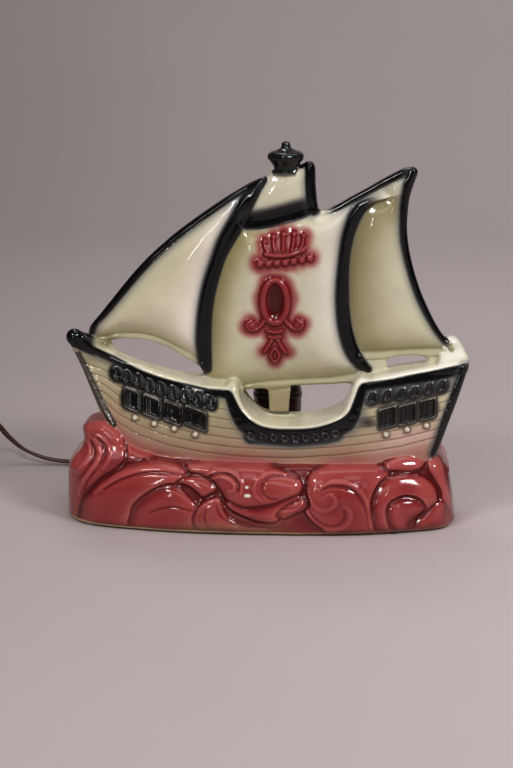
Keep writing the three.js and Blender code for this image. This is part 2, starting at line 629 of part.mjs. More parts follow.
// A cup with a neck for the nipple and a hole for the set screw.
function makeSocketCap() {
  const { r0, r1, z0, z1, screwZ } = CAP;
  const cup = turned(
    [
      [NIPPLE_BORE, z0], [9.6, z0], [10.8, z0 + 1], [12.6, z0 + 2.2], [r0 - 0.6, z0 + 3.6],
      [r0, z0 + 5.4], [r1 - 0.3, z1 - 4], [r1, z1 - 3.4], [r1, z1 - 0.6], [r1 - 0.6, z1],
      [r0 - 2.4, z1], [r0 - 2.6, z0 + 9.4], [NIPPLE_BORE, z0 + 9.4], [NIPPLE_BORE, z0],
    ],
    28,
  );
  return cut(cup, rodY(1.5, 14, 12).translate(0, 11.5, screwZ));
}

const makeSetScrew = () => cut(rodY(1.2, 9.5, 12), box([0.5, 1.4, 3], [0, 4.6, 0]));

// A tube with a rolled rim, a foot that sits on the cap, and the knob's hub.
function makeSocketShell() {
  const { r, ri, z0, z1 } = SHELL;
  const wall = turned(
    [
      [ri, z0], [17.6, z0], [17.8, z0 + 0.8], [17.6, z0 + 1.8], [r, z0 + 2.4], [r, z1 - 3],
      [r + 0.9, z1 - 2.4], [r + 0.9, z1 - 0.6], [r + 0.3, z1], [ri + 0.6, z1], [ri, z1 - 0.8],
      [ri, z0],
    ],
    28,
  );
  const hub = solid(rodY(5.4, 7, 24).translate(0, 16.6, KNOB.z)).subtract(
    solid(rodZ(ri + 0.4, 40, 40).translate(0, 0, KNOB.z)),
  );
  const shaftHole = solid(rodY(2.25, 20, 20).translate(0, 15, KNOB.z));
  return geometryOf(solid(wall).add(hub).subtract(shaftHole));
}

// Insulating block with a channel for each terminal and a pocket for the switch.
function makeInsulator() {
  const { r, z0, z1 } = BLOCK;
  const channel = (x) => box([6, 9, 9], [x, 0, z0 + 2.6]);
  return cut(
    turned([[0, z0], [r - 0.8, z0], [r, z0 + 0.8], [r, z1 - 1.2], [r - 1.2, z1], [0, z1]]),
    channel(-11.6),
    channel(11.6),
    box([13, 14, 13], [0, 10, KNOB.z - 1.4]),
  );
}

// Profile of a round-crested thread, three points to a turn: [radius, height].
function threadProfile({ radius, z, pitch, turns }) {
  const perTurn = 3;
  return Array.from({ length: Math.floor(turns * perTurn) + 1 }, (_, i) => [
    radius + 0.4 * Math.cos((2 * Math.PI * i) / perTurn),
    z + (i / perTurn) * pitch,
  ]);
}

// Threaded brass shell, rolled from thin sheet.
function makeScrewShell() {
  const { r, z0, pitch, turns } = E26;
  const thread = { z: z0 + 1.6, pitch, turns };
  const top = thread.z + turns * pitch;
  return turned(
    [
      [5, z0], [r - 0.6, z0],
      ...threadProfile({ ...thread, radius: r }),
      [r + 0.5, top + 1.2], [r, top + 1.5],
      ...threadProfile({ ...thread, radius: r - 0.5 }).reverse(),
      [r - 1.1, z0 + 0.5], [5, z0 + 0.5], [5, z0],
    ],
    20,
  );
}

// Centre contact: a folded tongue that stands up inside the shell.
function makeCenterContact() {
  const z = BLOCK.z1 + GAP;
  const outline = [
    [-3, z], [3, z], [3, z + 0.5], [-1.8, z + 0.7], [1.8, z + 2.6], [2.2, z + 3],
    [1.8, z + 3.3], [1, z + 3], [-3, z + 0.9],
  ];
  return slab(outline, -1.8, 1.8);
}

const makeTerminalScrew = (side) =>
  cut(rodX(2.9, 1.5, 20), box([0.9, 6.4, 0.8], [side * 0.6, 0, 0]));

// Shaft along Y with a flat at its rear end.
const makeSwitchShaft = () =>
  cut(rodY(SHAFT_R, 21, 20).translate(0, 17.6, 0), box([6, 7, 3], [0, 26.2, 2.6]));

// Cam with two lobes, on the shaft.
function makeSwitchRotor() {
  const lobes = polar(24, (_, angle) => 3.4 + 0.9 * Math.cos(2 * angle));
  return cut(slab(lobes, -2, 2), rodY(SHAFT_R + GAP, 8, 20));
}

// Fixed contact under the cam.
function makeSwitchContact() {
  const outline = [
    [-4.8, -7.6], [4.8, -7.6], [4.8, -7], [1.2, -6.6], [0.4, -5.1], [-0.4, -5.1],
    [-1.2, -6.6], [-4.8, -7],
  ];
  return slab(outline, -1.6, 1.6);
}

// Knob with flutes round its skirt and a pointer ridge on its rear face.
function makeSwitchKnob() {
  const { r, halfLength } = KNOB;
  const flutes = polar(40, (i) => r + (i % 2 ? 0 : 0.55));
  const dome = turned([
    [0, -halfLength], [7.6, -halfLength], [9, -4.6], [9, 3.4], [7.8, 4.6], [5.4, 5.2], [0, 5.2],
  ]).rotateX(-Math.PI / 2);
  const knob = solid(slab(flutes, -halfLength, halfLength))
    .intersect(solid(dome))
    .add(solid(box([2.2, 2, 13], [0, 5.5, 0])))
    .subtract(solid(rodY(SHAFT_R + GAP, 8.4, 20).translate(0, -1.6, 0)));
  return geometryOf(knob);
}

// ---------------------------------------------------------------- bulb pieces
// Thin envelope, open at the neck, which ends inside the cap.
function makeBulbGlass() {
  const { r: globe, top, wall } = BULB;
  const middle = top - globe;
  const outer = [];
  for (let i = 0; i <= 7; i++) {
    const angle = (Math.PI / 2) * (i / 7);
    outer.push([globe * Math.sin(angle), middle + globe * Math.cos(angle)]);
  }
  // Below the globe: [radius, drop from its middle].
  const neck = [
    [29.2, 8], [26.8, 16], [22.8, 24], [18.6, 32], [15.6, 40], [14.2, 47], [12.2, 49],
    [11.5, 51.5], [11.4, 59.5],
  ];
  outer.push(...neck.map(([r, drop]) => [r, middle - drop]));
  const inner = outer.map(([r, z]) => [
    Math.max(0, r - wall), z > middle ? middle + (z - middle) * 0.97 : z,
  ]);
  return turned([...outer, ...inner.reverse()].reverse(), 24);
}

function makeBulbCap() {
  const z0 = BULB.tip + 5;
  const thread = { radius: 12.55, z: z0 + 1, pitch: E26.pitch * 0.93, turns: 5 };
  const top = thread.z + thread.turns * thread.pitch;
  return turned(
    [
      [7.4, z0 - 0.8], [11.4, z0],
      ...threadProfile(thread),
      [13.2, top + 1], [13.2, top + 5.4], [12.8, top + 5.4], [12.75, top + 1.2], [11.95, top],
      [11.95, z0 + 1], [10.8, z0 + 0.5], [7.4, z0 - 0.2], [7.4, z0 - 0.8],
    ],
    20,
  );
}

function makeBulbInsulator() {
  const z = BULB.tip;
  return turned([[3.6, z + 1], [7, z + 2.9], [7, z + 4.6], [3.6, z + 4.6], [3.6, z + 1]], 28);
}

function makeBulbTip() {
  const z = BULB.tip;
  return turned([[0, z], [1.8, z + 0.2], [3.2, z + 0.9], [3.2, z + 2.4], [0, z + 2.4]], 20);
}

function makeBulbStem() {
  const profile = [
    [0, 115.5], [10.1, 115.5], [10.1, 116.5], [5.4, 121], [3, 128], [2.6, 134], [2.6, 141],
    [1.7, 145], [1.2, 157], [1.9, 158.6], [0, 160],
  ];
  return turned(profile, 16);
}

function makeBulbLead(side) {
  const path = [
    [side * 3.6, 0, 136], [side * 5.4, 0, 142], [side * 11, 0, 160], [side * 13.5, 0, 166.6],
  ];
  return wire(curveThrough(path).getPoints(7), 0.35, 6);
}

// Filament: a forward bow between the leads, with a small zigzag in height.
function makeFilament() {
  const points = [];
  for (let i = 0; i <= 14; i++) {
    const u = i / 14;
    const bow = Math.sin(Math.PI * u);
    points.push(vector([-12.6 + 25.2 * u, -5.5 * bow, 167.6 + 0.9 * bow + 0.5 * (i % 2)]));
  }
  return wire(points, 0.4, 6, [0, 1, 0.2]);
}

// ------------------------------------------------------------ cord and plug
// From the socket cap down the nipple, through the base and out to the plug: [x, y, z].
const CORD_PATH = [
  [SOCKET.x, SOCKET.y, 64.5], [SOCKET.x, SOCKET.y, 58], [SOCKET.x, SOCKET.y, 40],
  [SOCKET.x, SOCKET.y, 32], [SOCKET.x - 2, SOCKET.y - 1, 24], [SOCKET.x - 14, SOCKET.y - 6, 13],
  [-12, 22, 9], [-34, 18, 9], [-52, 22, 10], [CORD_EXIT.x, 34, CORD_EXIT.z],
  [CORD_EXIT.x, 46, CORD_EXIT.z], [CORD_EXIT.x, 58, CORD_EXIT.z], [CORD_EXIT.x - 2, 70, 9.5],
  [-72, 88, 6], [-92, 104, 3.6], [-118, 112, 3.1], [-146, 113, 3], [-164, 113, 3.4],
  [-180, 114, 5.6], [-196, 116, 11.6], [-208, 118, 20.5], [-217, 120, 30], [-226, 120, 38.5],
  [-236, 118, 42], [-247, 113, 38.5], [-254, 106, 29], [-258, 97, 17], [-259, 86, 8],
  [-257, 73, 5.4], [-252, 60, 6.2], [-247, 48, 8.8], [-244, 38, 11.6],
  [PLUG.x, 28, PLUG.r], [PLUG.x, 20, PLUG.r],
];

// Cord section: two round cores side by side with a shallow groove between them.
function cordSection() {
  const r = CORD.t / 2;
  const offset = CORD.w / 2 - r;
  const halfRound = (centre, start) =>
    [0, 1, 2, 3].map((i) => {
      const angle = start + (Math.PI * i) / 3;
      return [centre + r * Math.cos(angle), r * Math.sin(angle)];
    });
  return [
    ...halfRound(offset, -Math.PI / 2),
    [0, r * 0.72],
    ...halfRound(-offset, Math.PI / 2),
    [0, -r * 0.72],
  ];
}

function makeCord() {
  const curve = curveThrough(CORD_PATH);
  const points = curve.getSpacedPoints(CORD.steps);
  // The flat side lies up on the table and turns with the cord where it climbs.
  const ups = points.map((_, i) => {
    const climb = Math.abs(curve.getTangentAt(i / CORD.steps).z);
    return vector([0, Math.pow(climb, 2), 1 - climb * 0.98]).normalize();
  });
  // Even out the twist.
  for (let pass = 0; pass < 6; pass++) {
    for (let i = 1; i + 1 < ups.length; i++) {
      ups[i] = ups[i].clone().add(ups[i - 1]).add(ups[i + 1]).normalize();
    }
  }
  return sweep(points, cordSection(), ups);
}

// Bare core from the end of the cord to a terminal.
function makeConductor(side) {
  const path = [
    [side * 1.2, 0, 65], [side * 1.8, 0, 67], [side * 7, 0, 70], [side * 11.9, 0, 72.6],
    [side * 12, 0, 77],
  ];
  return wire(curveThrough(path).getPoints(10), 0.7, 8);
}

// Bushing: its flange lies behind the rear wall, and its sleeve runs forward.
const BUSHING_FLANGE_T = 1.8;
function makeBushing() {
  const profile = [
    [3.4, 0], [6.6, 0], [7, 0.5], [7, BUSHING_FLANGE_T], [4.7, BUSHING_FLANGE_T],
    [4.7, 9.5], [3.4, 9.5], [3.4, 0],
  ];
  return turned(profile, 28).rotateX(Math.PI / 2);
}

// The plug's parts are turned about Z, then laid over so that +Z becomes -Y:
// cord neck at the back, blades at the front.
function makePlugBody() {
  const r = PLUG.r;
  const outside = [
    [0, -20], [4.2, -20], [5, -19.2], [5.6, -14], [8, -9], [r - 1, -3], [r, 0], [r, 8],
    [r - 0.8, 9], [0, 9],
  ];
  return cut(
    turned(outside, 36),
    turned([[0, 5.5], [r - 2.4, 5.5], [r - 2.4, 12], [0, 12]]),
    turned([[0, -24], [3.4, -24], [3.4, 6], [0, 6]], 20),
  ).rotateX(Math.PI / 2);
}

function makePlugDisc() {
  const r = PLUG.r - 2.8;
  const slot = (x) => box([2.2, 7.2, 4], [x, 0, 8]);
  return cut(
    turned([[0, 7.9], [r, 7.9], [r, 8.5], [0, 8.5]], 28),
    slot(-PLUG.bladeX),
    slot(PLUG.bladeX),
  ).rotateX(Math.PI / 2);
}

function makePlugBlade() {
  const outline = [[-0.75, -3.2], [0.75, -3.2], [0.75, 3.2], [-0.75, 3.2]];
  return cut(slab(outline, -24, -5.8), rodX(1.5, 6, 16).translate(0, -20.5, 0));
}

const makePlugScrew = () => cut(rodY(1.5, 1.6, 16), box([4, 0.8, 0.6], [0, -0.6, 0]));

// ------------------------------------------------------------------ materials
const standard = (options) => new THREE.MeshStandardMaterial(options);
const MATERIALS = {
  glaze: standard({ color: 0xcfc6a4, roughness: 0.12, metalness: 0 }),
  felt: standard({ color: 0x3a4a3a, roughness: 0.95, metalness: 0 }),
  steel: standard({ color: 0xb5b5b0, roughness: 0.35, metalness: 1 }),
  brass: standard({ color: 0xb8964e, roughness: 0.3, metalness: 1 }),
  bakelite: standard({ color: 0x21160f, roughness: 0.28, metalness: 0 }),
  phenolic: standard({ color: 0x3b2618, roughness: 0.5, metalness: 0 }),
  fibre: standard({ color: 0x4a4038, roughness: 0.85, metalness: 0 }),
  glass: standard({
    color: 0xf2efe6, roughness: 0.1, metalness: 0, transparent: true, opacity: 0.45,
  }),
  blackGlass: standard({ color: 0x111111, roughness: 0.2, metalness: 0 }),
  tungsten: standard({ color: 0x55565a, roughness: 0.4, metalness: 1 }),
  nickel: standard({ color: 0xc8c6c0, roughness: 0.25, metalness: 1 }),
  copper: standard({ color: 0xb0683a, roughness: 0.35, metalness: 1 }),
  cord: standard({ color: 0x2c1a12, roughness: 0.55, metalness: 0 }),
  rubber: standard({ color: 0x141414, roughness: 0.7, metalness: 0 }),
};

// ------------------------------------------------------------------- assembly
const lamp = new THREE.Group();

function addGroup(x, y) {
  const group = new THREE.Group();
  group.position.set(x, y, 0);
  lamp.add(group);
  return group;
}

function addPiece(parent, name, geometry, material, place = [0, 0, 0]) {
  const mesh = new THREE.Mesh(geometry, MATERIALS[material]);
  mesh.name = name;
  mesh.position.set(...place);
  parent.add(mesh);
}

addPiece(lamp, "ceramic_body", makeCeramic(), "glaze");

for (const [corner, x, y] of [
  ["front_left", -96, -37], ["front_right", 98, -37.5],
  ["rear_left", -100, 44.5], ["rear_right", 100, 44.5],
]) {
  addPiece(lamp, "felt_pad_" + corner, makeFeltPad(), "felt", [x, y, 0]);
}

// Everything on the socket's axis hangs in one group.
const socket = addGroup(SOCKET.x, SOCKET.y);
const addToSocket = (...args) => addPiece(socket, ...args);

const nipple = tube(NIPPLE.ro, NIPPLE.ri, NIPPLE.z0, NIPPLE.z1, 24);
addToSocket("mounting_nipple", nipple, "steel");
const upperWasherZ = LEDGE_Z + GAP;
const lowerWasherZ = BASE_CEILING - GAP - WASHER.thickness;
addToSocket("washer_upper", makeWasher(upperWasherZ), "steel");
addToSocket("locknut_upper", makeLocknut(upperWasherZ + WASHER.thickness + GAP), "brass");
addToSocket("washer_lower", makeWasher(lowerWasherZ), "steel");
addToSocket("locknut_lower", makeLocknut(lowerWasherZ - GAP - LOCKNUT.thickness), "brass");
addToSocket("socket_cap", makeSocketCap(), "bakelite");
addToSocket("socket_set_screw", makeSetScrew(), "steel", [0, 10.4, CAP.screwZ]);
addToSocket("socket_shell", makeSocketShell(), "bakelite");
addToSocket("socket_insulator", makeInsulator(), "phenolic");
addToSocket("screw_shell", makeScrewShell(), "brass");
addToSocket("center_contact", makeCenterContact(), "brass");
for (const [core, side, material] of [["hot", -1, "brass"], ["neutral", 1, "nickel"]]) {
  const place = [side * TERMINAL.x, 0, TERMINAL.z];
  addToSocket("terminal_screw_" + core, makeTerminalScrew(side), material, place);
}
addToSocket("switch_shaft", makeSwitchShaft(), "brass", [0, 0, KNOB.z]);
addToSocket("switch_rotor", makeSwitchRotor(), "phenolic", [0, ROTOR_Y, KNOB.z]);
addToSocket("switch_contact", makeSwitchContact(), "brass", [0, ROTOR_Y, KNOB.z]);
addToSocket("switch_knob", makeSwitchKnob(), "bakelite", [0, KNOB.y, KNOB.z]);

addToSocket("bulb_glass", makeBulbGlass(), "glass");
addToSocket("bulb_screw_cap", makeBulbCap(), "brass");
addToSocket("bulb_insulator", makeBulbInsulator(), "blackGlass");
addToSocket("bulb_contact_tip", makeBulbTip(), "nickel");
addToSocket("bulb_stem", makeBulbStem(), "glass");
addToSocket("bulb_lead_left", makeBulbLead(-1), "nickel");
addToSocket("bulb_lead_right", makeBulbLead(1), "nickel");
addToSocket("bulb_filament", makeFilament(), "tungsten");

addPiece(lamp, "cord", makeCord(), "cord");
addToSocket("conductor_hot", makeConductor(-1), "copper");
addToSocket("conductor_neutral", makeConductor(1), "copper");
const bushingY = BASE_BACK + GAP + BUSHING_FLANGE_T;
addPiece(lamp, "cord_bushing", makeBushing(), "rubber", [CORD_EXIT.x, bushingY, CORD_EXIT.z]);

// Two-blade plug that lies on the table at the cord's end.
const plug = addGroup(PLUG.x, PLUG.y);
addPiece(plug, "plug_body", makePlugBody(), "bakelite", [0, 0, PLUG.r]);
addPiece(plug, "plug_cover_disc", makePlugDisc(), "fibre", [0, 0, PLUG.r]);
for (const [name, side] of [["left", -1], ["right", 1]]) {
  const bladePlace = [side * PLUG.bladeX, 0, PLUG.r];
  const screwPlace = [side * 2.8, -6.9, PLUG.r - side * 5.6];
  addPiece(plug, "plug_blade_" + name, makePlugBlade(), "brass", bladePlace);
  addPiece(plug, "plug_screw_" + name, makePlugScrew(), "nickel", screwPlace);
}

// Put the origin on the table under the middle of the bounding box, cord included.
lamp.updateMatrixWorld(true);
const { min, max } = new THREE.Box3().setFromObject(lamp, true);
lamp.position.set(-(min.x + max.x) / 2, -(min.y + max.y) / 2, 0);

export default lamp;
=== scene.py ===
import bpy
import json
import math
import numpy as np
from itertools import product
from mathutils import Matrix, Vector


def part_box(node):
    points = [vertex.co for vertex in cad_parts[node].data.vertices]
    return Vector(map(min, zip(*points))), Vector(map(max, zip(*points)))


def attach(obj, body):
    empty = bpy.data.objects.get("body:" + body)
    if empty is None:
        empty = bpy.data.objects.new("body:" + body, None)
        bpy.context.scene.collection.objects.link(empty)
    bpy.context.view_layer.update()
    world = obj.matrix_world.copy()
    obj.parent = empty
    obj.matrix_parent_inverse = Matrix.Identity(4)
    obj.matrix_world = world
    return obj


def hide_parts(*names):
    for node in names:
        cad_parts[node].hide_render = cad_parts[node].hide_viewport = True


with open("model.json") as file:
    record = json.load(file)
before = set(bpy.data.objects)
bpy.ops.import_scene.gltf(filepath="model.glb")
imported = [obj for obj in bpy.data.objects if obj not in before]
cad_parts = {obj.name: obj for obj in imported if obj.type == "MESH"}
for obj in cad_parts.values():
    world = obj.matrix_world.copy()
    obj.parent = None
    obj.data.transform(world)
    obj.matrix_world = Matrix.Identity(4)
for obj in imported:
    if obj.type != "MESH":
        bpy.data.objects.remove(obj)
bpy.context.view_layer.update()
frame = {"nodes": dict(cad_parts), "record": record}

# Axis of socket and bulb; it places the lamp's zero in the frame.
SOCKET_X, SOCKET_Y = 11.0, 36.0
nut_low, nut_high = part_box("locknut_upper")
ORIGIN = np.array([
    (nut_low.x + nut_high.x) / 2 - SOCKET_X / 1000,
    (nut_low.y + nut_high.y) / 2 - SOCKET_Y / 1000,
    0.0,
]) * 1000.0

# ------------------------------------------------------------------------- grids
STEP = 0.64  # of the sculpt in X and Z
STEP_Y = 0.9
FINE_STEP = STEP / 2  # of the relief and paint maps
FAR = 60.0  # distance given to cells outside a line's margin

fine_x = np.arange(-143.0, 152.6, FINE_STEP).astype(np.float32)
fine_z = np.arange(0.3, 275.2, FINE_STEP).astype(np.float32)
grid_x, grid_z = fine_x[::2], fine_z[::2]
grid_y = np.arange(-62.0, 57.1, STEP_Y).astype(np.float32)
FINE = X, Z = np.meshgrid(fine_x, fine_z, indexing="ij")
COARSE = X_LOW, Z_LOW = X[::2, ::2], Z[::2, ::2]
PLAN = np.meshgrid(grid_x, grid_y, indexing="ij")


# ------------------------------------------------------------------ 2D helpers
def points(text):
    """Rows of a table written as words of numbers joined by commas."""
    return [tuple(map(float, word.split(","))) for word in text.split()]


def curve(rows, steps=4, closed=False):
    """Smooth curve through rows of any number of columns."""
    p = np.array(rows, float)
    if closed:
        p = np.vstack([p[-1], p, p[0], p[1]])
    else:
        p = np.vstack([2 * p[0] - p[1], p, 2 * p[-1] - p[-2]])
    out = []
    for i in range(1, len(p) - 2):
        a, b, c, d = p[i - 1], p[i], p[i + 1], p[i + 2]
        for k in range(steps):
            t = k / steps
            square = (2 * a - 5 * b + 4 * c - d) * t * t
            out.append(0.5 * (2 * b + (c - a) * t + square + (3 * b - a - 3 * c + d) * t**3))
    if not closed:
        out.append(p[-2])
    return np.array(out)


def window(line, margin, grid=FINE):
    """Slices of the grid that hold a line and a margin round it."""
    cells = []
    for axis, column in ((grid[0][:, 0], line[:, 0]), (grid[1][0], line[:, 1])):
        low, high = np.searchsorted(axis, [column.min() - margin, column.max() + margin])
        cells.append(slice(low, max(high, low + 1)))
    return tuple(cells)


def around(x, z, margin):
    return window(np.array([[x, z]]), margin)


def line_map(line, margin=None, closed=False, grid=FINE):
    """Distance to a line, its third column there, the side, and the run along it (0 to 1).

    The side is positive to the left of the line's course.
    """
    line = np.asarray(line, float)
    if closed:
        line = np.vstack([line, line[:1]])
    best = np.full(grid[0].shape, FAR * FAR, np.float32)
    value, side, run = (np.zeros_like(best) for _ in range(3))
    cells = (slice(None), slice(None)) if margin is None else window(line, margin, grid)
    x, z = grid[0][cells], grid[1][cells]
    near = best[cells]
    lengths = np.hypot(np.diff(line[:, 0]), np.diff(line[:, 1]))
    reached = np.concatenate([[0], np.cumsum(lengths)]) / max(lengths.sum(), 1e-9)
    for i in range(len(line) - 1):
        start, end = line[i], line[i + 1]
        dx, dz = end[0] - start[0], end[1] - start[1]
        square = dx * dx + dz * dz
        if square < 1e-9:
            continue
        from_x, from_z = x - start[0], z - start[1]
        t = np.clip((from_x * dx + from_z * dz) / square, 0, 1)
        d = (from_x - t * dx) ** 2 + (from_z - t * dz) ** 2
        closer = d < near
        near[closer] = d[closer]
        if line.shape[1] > 2:
            value[cells][closer] = (start[2] + t * (end[2] - start[2]))[closer]
        side[cells][closer] = (dx * from_z - dz * from_x)[closer]
        run[cells][closer] = (reached[i] + t * (reached[i + 1] - reached[i]))[closer]
    return np.sqrt(best), value, side, run


def distance(rows, margin, steps=4):
    """Distance to the smooth curve through rows."""
    return line_map(curve(rows, steps), margin)[0]


def polygon_map(outline, margin=None, grid=COARSE):
    """Signed distance to a closed outline, negative inside."""
    outline = np.asarray(outline, float)[:, :2]
    d = line_map(outline, margin, closed=True, grid=grid)[0]
    inside = np.zeros(d.shape, bool)
    cells = window(outline, 1.0, grid)
    x, z = grid[0][cells], grid[1][cells]
    part = inside[cells]
    for p, q in zip(outline, np.roll(outline, -1, axis=0)):
        if p[1] == q[1]:
            continue
        edge_x = (q[0] - p[0]) * (z - p[1]) / (q[1] - p[1]) + p[0]
        part ^= ((p[1] > z) != (q[1] > z)) & (x < edge_x)
    return np.where(inside, -d, d).astype(np.float32)


def outline_map(rows, steps, margin=None, grid=COARSE):
    """Signed distance to the smooth closed curve through rows."""
    return polygon_map(curve(rows, steps, closed=True), margin, grid)


def blur(field, sigma, step=FINE_STEP):
    """Three box passes along both axes, close to a Gaussian of sigma mm."""
    sigma = sigma / step
    reach = max(1, int(round(math.sqrt(4 * sigma * sigma + 1) / 2)))
    for axis in (0, 1):
        for _ in range(3):
            pad = [(0, 0), (0, 0)]
            pad[axis] = (reach + 1, reach)
            sums = np.cumsum(np.pad(field, pad, mode="edge").astype(np.float64), axis=axis)
            count = field.shape[axis]
            high = np.take(sums, np.arange(2 * reach + 1, count + 2 * reach + 1), axis=axis)
            low = np.take(sums, np.arange(0, count), axis=axis)
            field = ((high - low) / (2 * reach + 1)).astype(np.float32)
    return field


def ease(start, end, value):
    """Smooth step, 0 at start and 1 at end; start may be the larger."""
    t = np.clip((value - start) / (end - start), 0, 1)
    return t * t * (3 - 2 * t)


def bell(d, width):
    return np.exp(-((d / width) ** 2))


def dome(d, radius):
    """Half-round profile: 1 on the line, 0 at the radius."""
    return np.sqrt(np.clip(1 - (d / np.maximum(radius, 1e-3)) ** 2, 0, 1))


def pillow(depth, reach):
    """Quarter-round profile from an outline: 0 at the edge, 1 at reach inside it."""
    t = np.clip(depth / reach, 0, 1)
    return np.sqrt(1 - (1 - t) ** 2)


def value_noise(size, seed, x=X, z=Z):
    """Smooth noise with cells of the given size, from -1 to 1."""
    u, v = x / size + 13.7 * seed, z / size - 7.3 * seed
    i, j = np.floor(u), np.floor(v)
    fu, fv = u - i, v - j
    fu, fv = fu * fu * (3 - 2 * fu), fv * fv * (3 - 2 * fv)

    def corner(a, b):
        s = np.sin(a * 127.1 + b * 311.7 + seed * 74.7) * 43758.5453
        return s - np.floor(s)

    low = corner(i, j) * (1 - fu) + corner(i + 1, j) * fu
    high = corner(i, j + 1) * (1 - fu) + corner(i + 1, j + 1) * fu
    return (2 * (low * (1 - fv) + high * fv) - 1).astype(np.float32)


def sample(field, grid, x, z):
    """Bilinear lookup of a map at points x, z of its grid."""
    x0, z0 = grid[0][0, 0], grid[1][0, 0]
    u = np.clip((x - x0) / (grid[0][1, 0] - x0), 0, field.shape[0] - 1.001)
    v = np.clip((z - z0) / (grid[1][0, 1] - z0), 0, field.shape[1] - 1.001)
    i, j = u.astype(np.int32), v.astype(np.int32)
    fu, fv = u - i, v - j
    if field.ndim == 3:
        fu, fv = fu[..., None], fv[..., None]
    low = field[i, j] * (1 - fu) + field[i + 1, j] * fu
    high = field[i, j + 1] * (1 - fu) + field[i + 1, j + 1] * fu
    return low * (1 - fv) + high * fv


def refine(field):
    """A coarse map brought to the fine grid."""
    return sample(field, COARSE, X, Z)


def coarse(field):
    return field[::2, ::2]


def height_at(rows, x):
    """Height of an open line of points at X."""
    line = np.array(rows, float)
    order = np.argsort(line[:, 0])
    return np.interp(x, line[order, 0], line[order, 1]).astype(np.float32)


def first_two(rows):
    return [row[:2] for row in rows]


# ----------------------------------------------------- outlines: x,z of each point
SAILS = points("""
-120.9,130.3 -122.7,133.2 -122.2,138.4 -114.8,147.3 -107.4,156.6 -100,165.8 -92.7,174.8
-85.3,183.2 -78.1,190.7 -70.8,197.4 -63.6,203.8 -56.5,209.6 -49.3,215 -42.2,220.2 -35,225.3
-27.9,230.2 -20.9,234.8 -13.8,239.1 -6.8,243.1 -1.1,245.9 3.8,247.8 7.3,248.8 9,252 21.3,253.5
30.4,256.8 32.4,258.2 35.2,258.7 37.7,257.5 39,255.1 39.3,250.2 39.4,244.6 39.9,238.2 40.6,231.2
41.4,225.9 43.2,224.2 46.7,224.7 51.6,226.9 56.5,229.4 63.4,233.6 70.4,237.5 77.3,241.4
84.2,245.6 91.1,249.5 98,253.1 102.1,254.7 106.2,255.3 109,254.5 110.5,252.2 110,249.1
108.5,245.2 107.1,241 105.8,236.8 104.8,231.9 104.2,226.2 103.8,219.9 103.7,213.5 104.1,207.2
104.9,200.8 106.1,194.4 107.6,188 109.6,180.8 111.7,174.4 114.1,167.6 117,160.8 120,154.4
123.6,147.2 127.4,140.7 131,135.7 134.2,132.8 139.2,130.7 139.3,121 120,104 77,92 66,62 -18,62
-24,92 -60,98 -104,112""")
HOLE_JIB = points("""
-106.8,127.6 -102.8,129.3 -97.7,130 -89,129.8 -79.4,128.5 -71.7,126.3 -65.7,124 -56.5,118.5
-47.4,113 -41.8,109 -42.3,104 -54.6,103.5 -70.5,107 -87.1,112 -100,118""")
HOLE_MIZZEN = points("""
90.9,115.6 92.6,118.1 96.9,119.8 101.8,120.6 107.5,120.9 113.9,120.6 118.2,119.4 119.7,117.4
117,112.5 105,109 94,109""")
HOLE_WAIST_LEFT = points("""
-15.5,93.2 -9.1,94.2 -4,94.7 1.1,95 5,94.1 6.6,90.2 6.6,71 0.3,69 -8.7,74 -14,82""")
HOLE_WAIST_RIGHT = points("""
22.4,94.5 24.1,97.4 29.1,97.8 39.9,98.4 50.7,98.9 61.5,99.5 67.4,98.7 68.6,94 65.4,82 54.5,73
39.4,69 22.4,70.5""")
RAIL = points("""
-128.2,130.4 -120.8,127.2 -113.5,124.1 -106.1,121 -98.8,117.9 -91.5,115 -84.2,112.5 -76.9,110.2
-69.6,108.2 -62.4,106.4 -55.1,105 -47.8,103.9 -40.6,102.9 -33.4,102.3 -26.2,102 -19.8,101.5
-17.2,100 -16,96 -14.5,91.2 -12,86.5 -8.8,82.2 -4.6,78.1 0,75 5.7,72.9 13.5,71.8 23.5,71.7
34.1,72.2 41.9,73.3 49,75.4 55.6,78.1 61.2,81.3 65.1,85.8 67.1,90.5 69,95.7 70.5,100.4 72,103.8
74.2,106.1 77.4,107.4 83.7,108.8 93.5,110.7 100.5,112.1 107.4,113.5 114.4,114.7 121.3,115.9
128.3,117.2 135.3,118.5 142.2,119.7 147.6,121.2""")
STERN = points("""
148.4,117.6 145.8,108.5 142.9,99 139.7,89.2 136.4,79.6 133.1,69.6 130.5,61.4 128.5,55.9
127.2,51.4""")
STEM = points("""
-104,58 -109.3,70 -112.8,77.5 -116.3,84.9 -119.8,92.2 -123.2,99.6 -126.5,107 -129.8,113.9
-131.5,118 -133.2,122""")
WAVES = points("""
-132,1.5 -138,4.4 -139.5,10.2 -139.7,17.9 -139.2,25.5 -137.9,33.1 -135.9,39.9 -132.8,45.3
-129.8,48.4 -110,50 -88.7,52 -60,49 -20,48.6 20,48 60,48 100,48 129.4,48.2 131.6,46.9 133.2,41.7
135.2,32.8 137.6,21.6 139.4,10.4 140.3,4 138,1.5""")
CREST = points("""
-134,38 -132.8,45.3 -129.8,49.5 -127.5,52.9 -126.1,57.4 -126.2,61.9 -127.3,65.1 -126.5,68.1
-123.5,70.5 -119.8,72 -115.5,72.9 -111.1,72.7 -106.8,71.6 -101.8,68.3 -96.8,64 -93,58.8 -84,54
-72,50 -68,38""")
SWELL = points("""
84,38 88,50 94,54.5 100,57.4 108.4,59.7 116.8,58.1 121,56.3 125.1,52.5 129.4,50.9 131.6,46.9
134,38""")
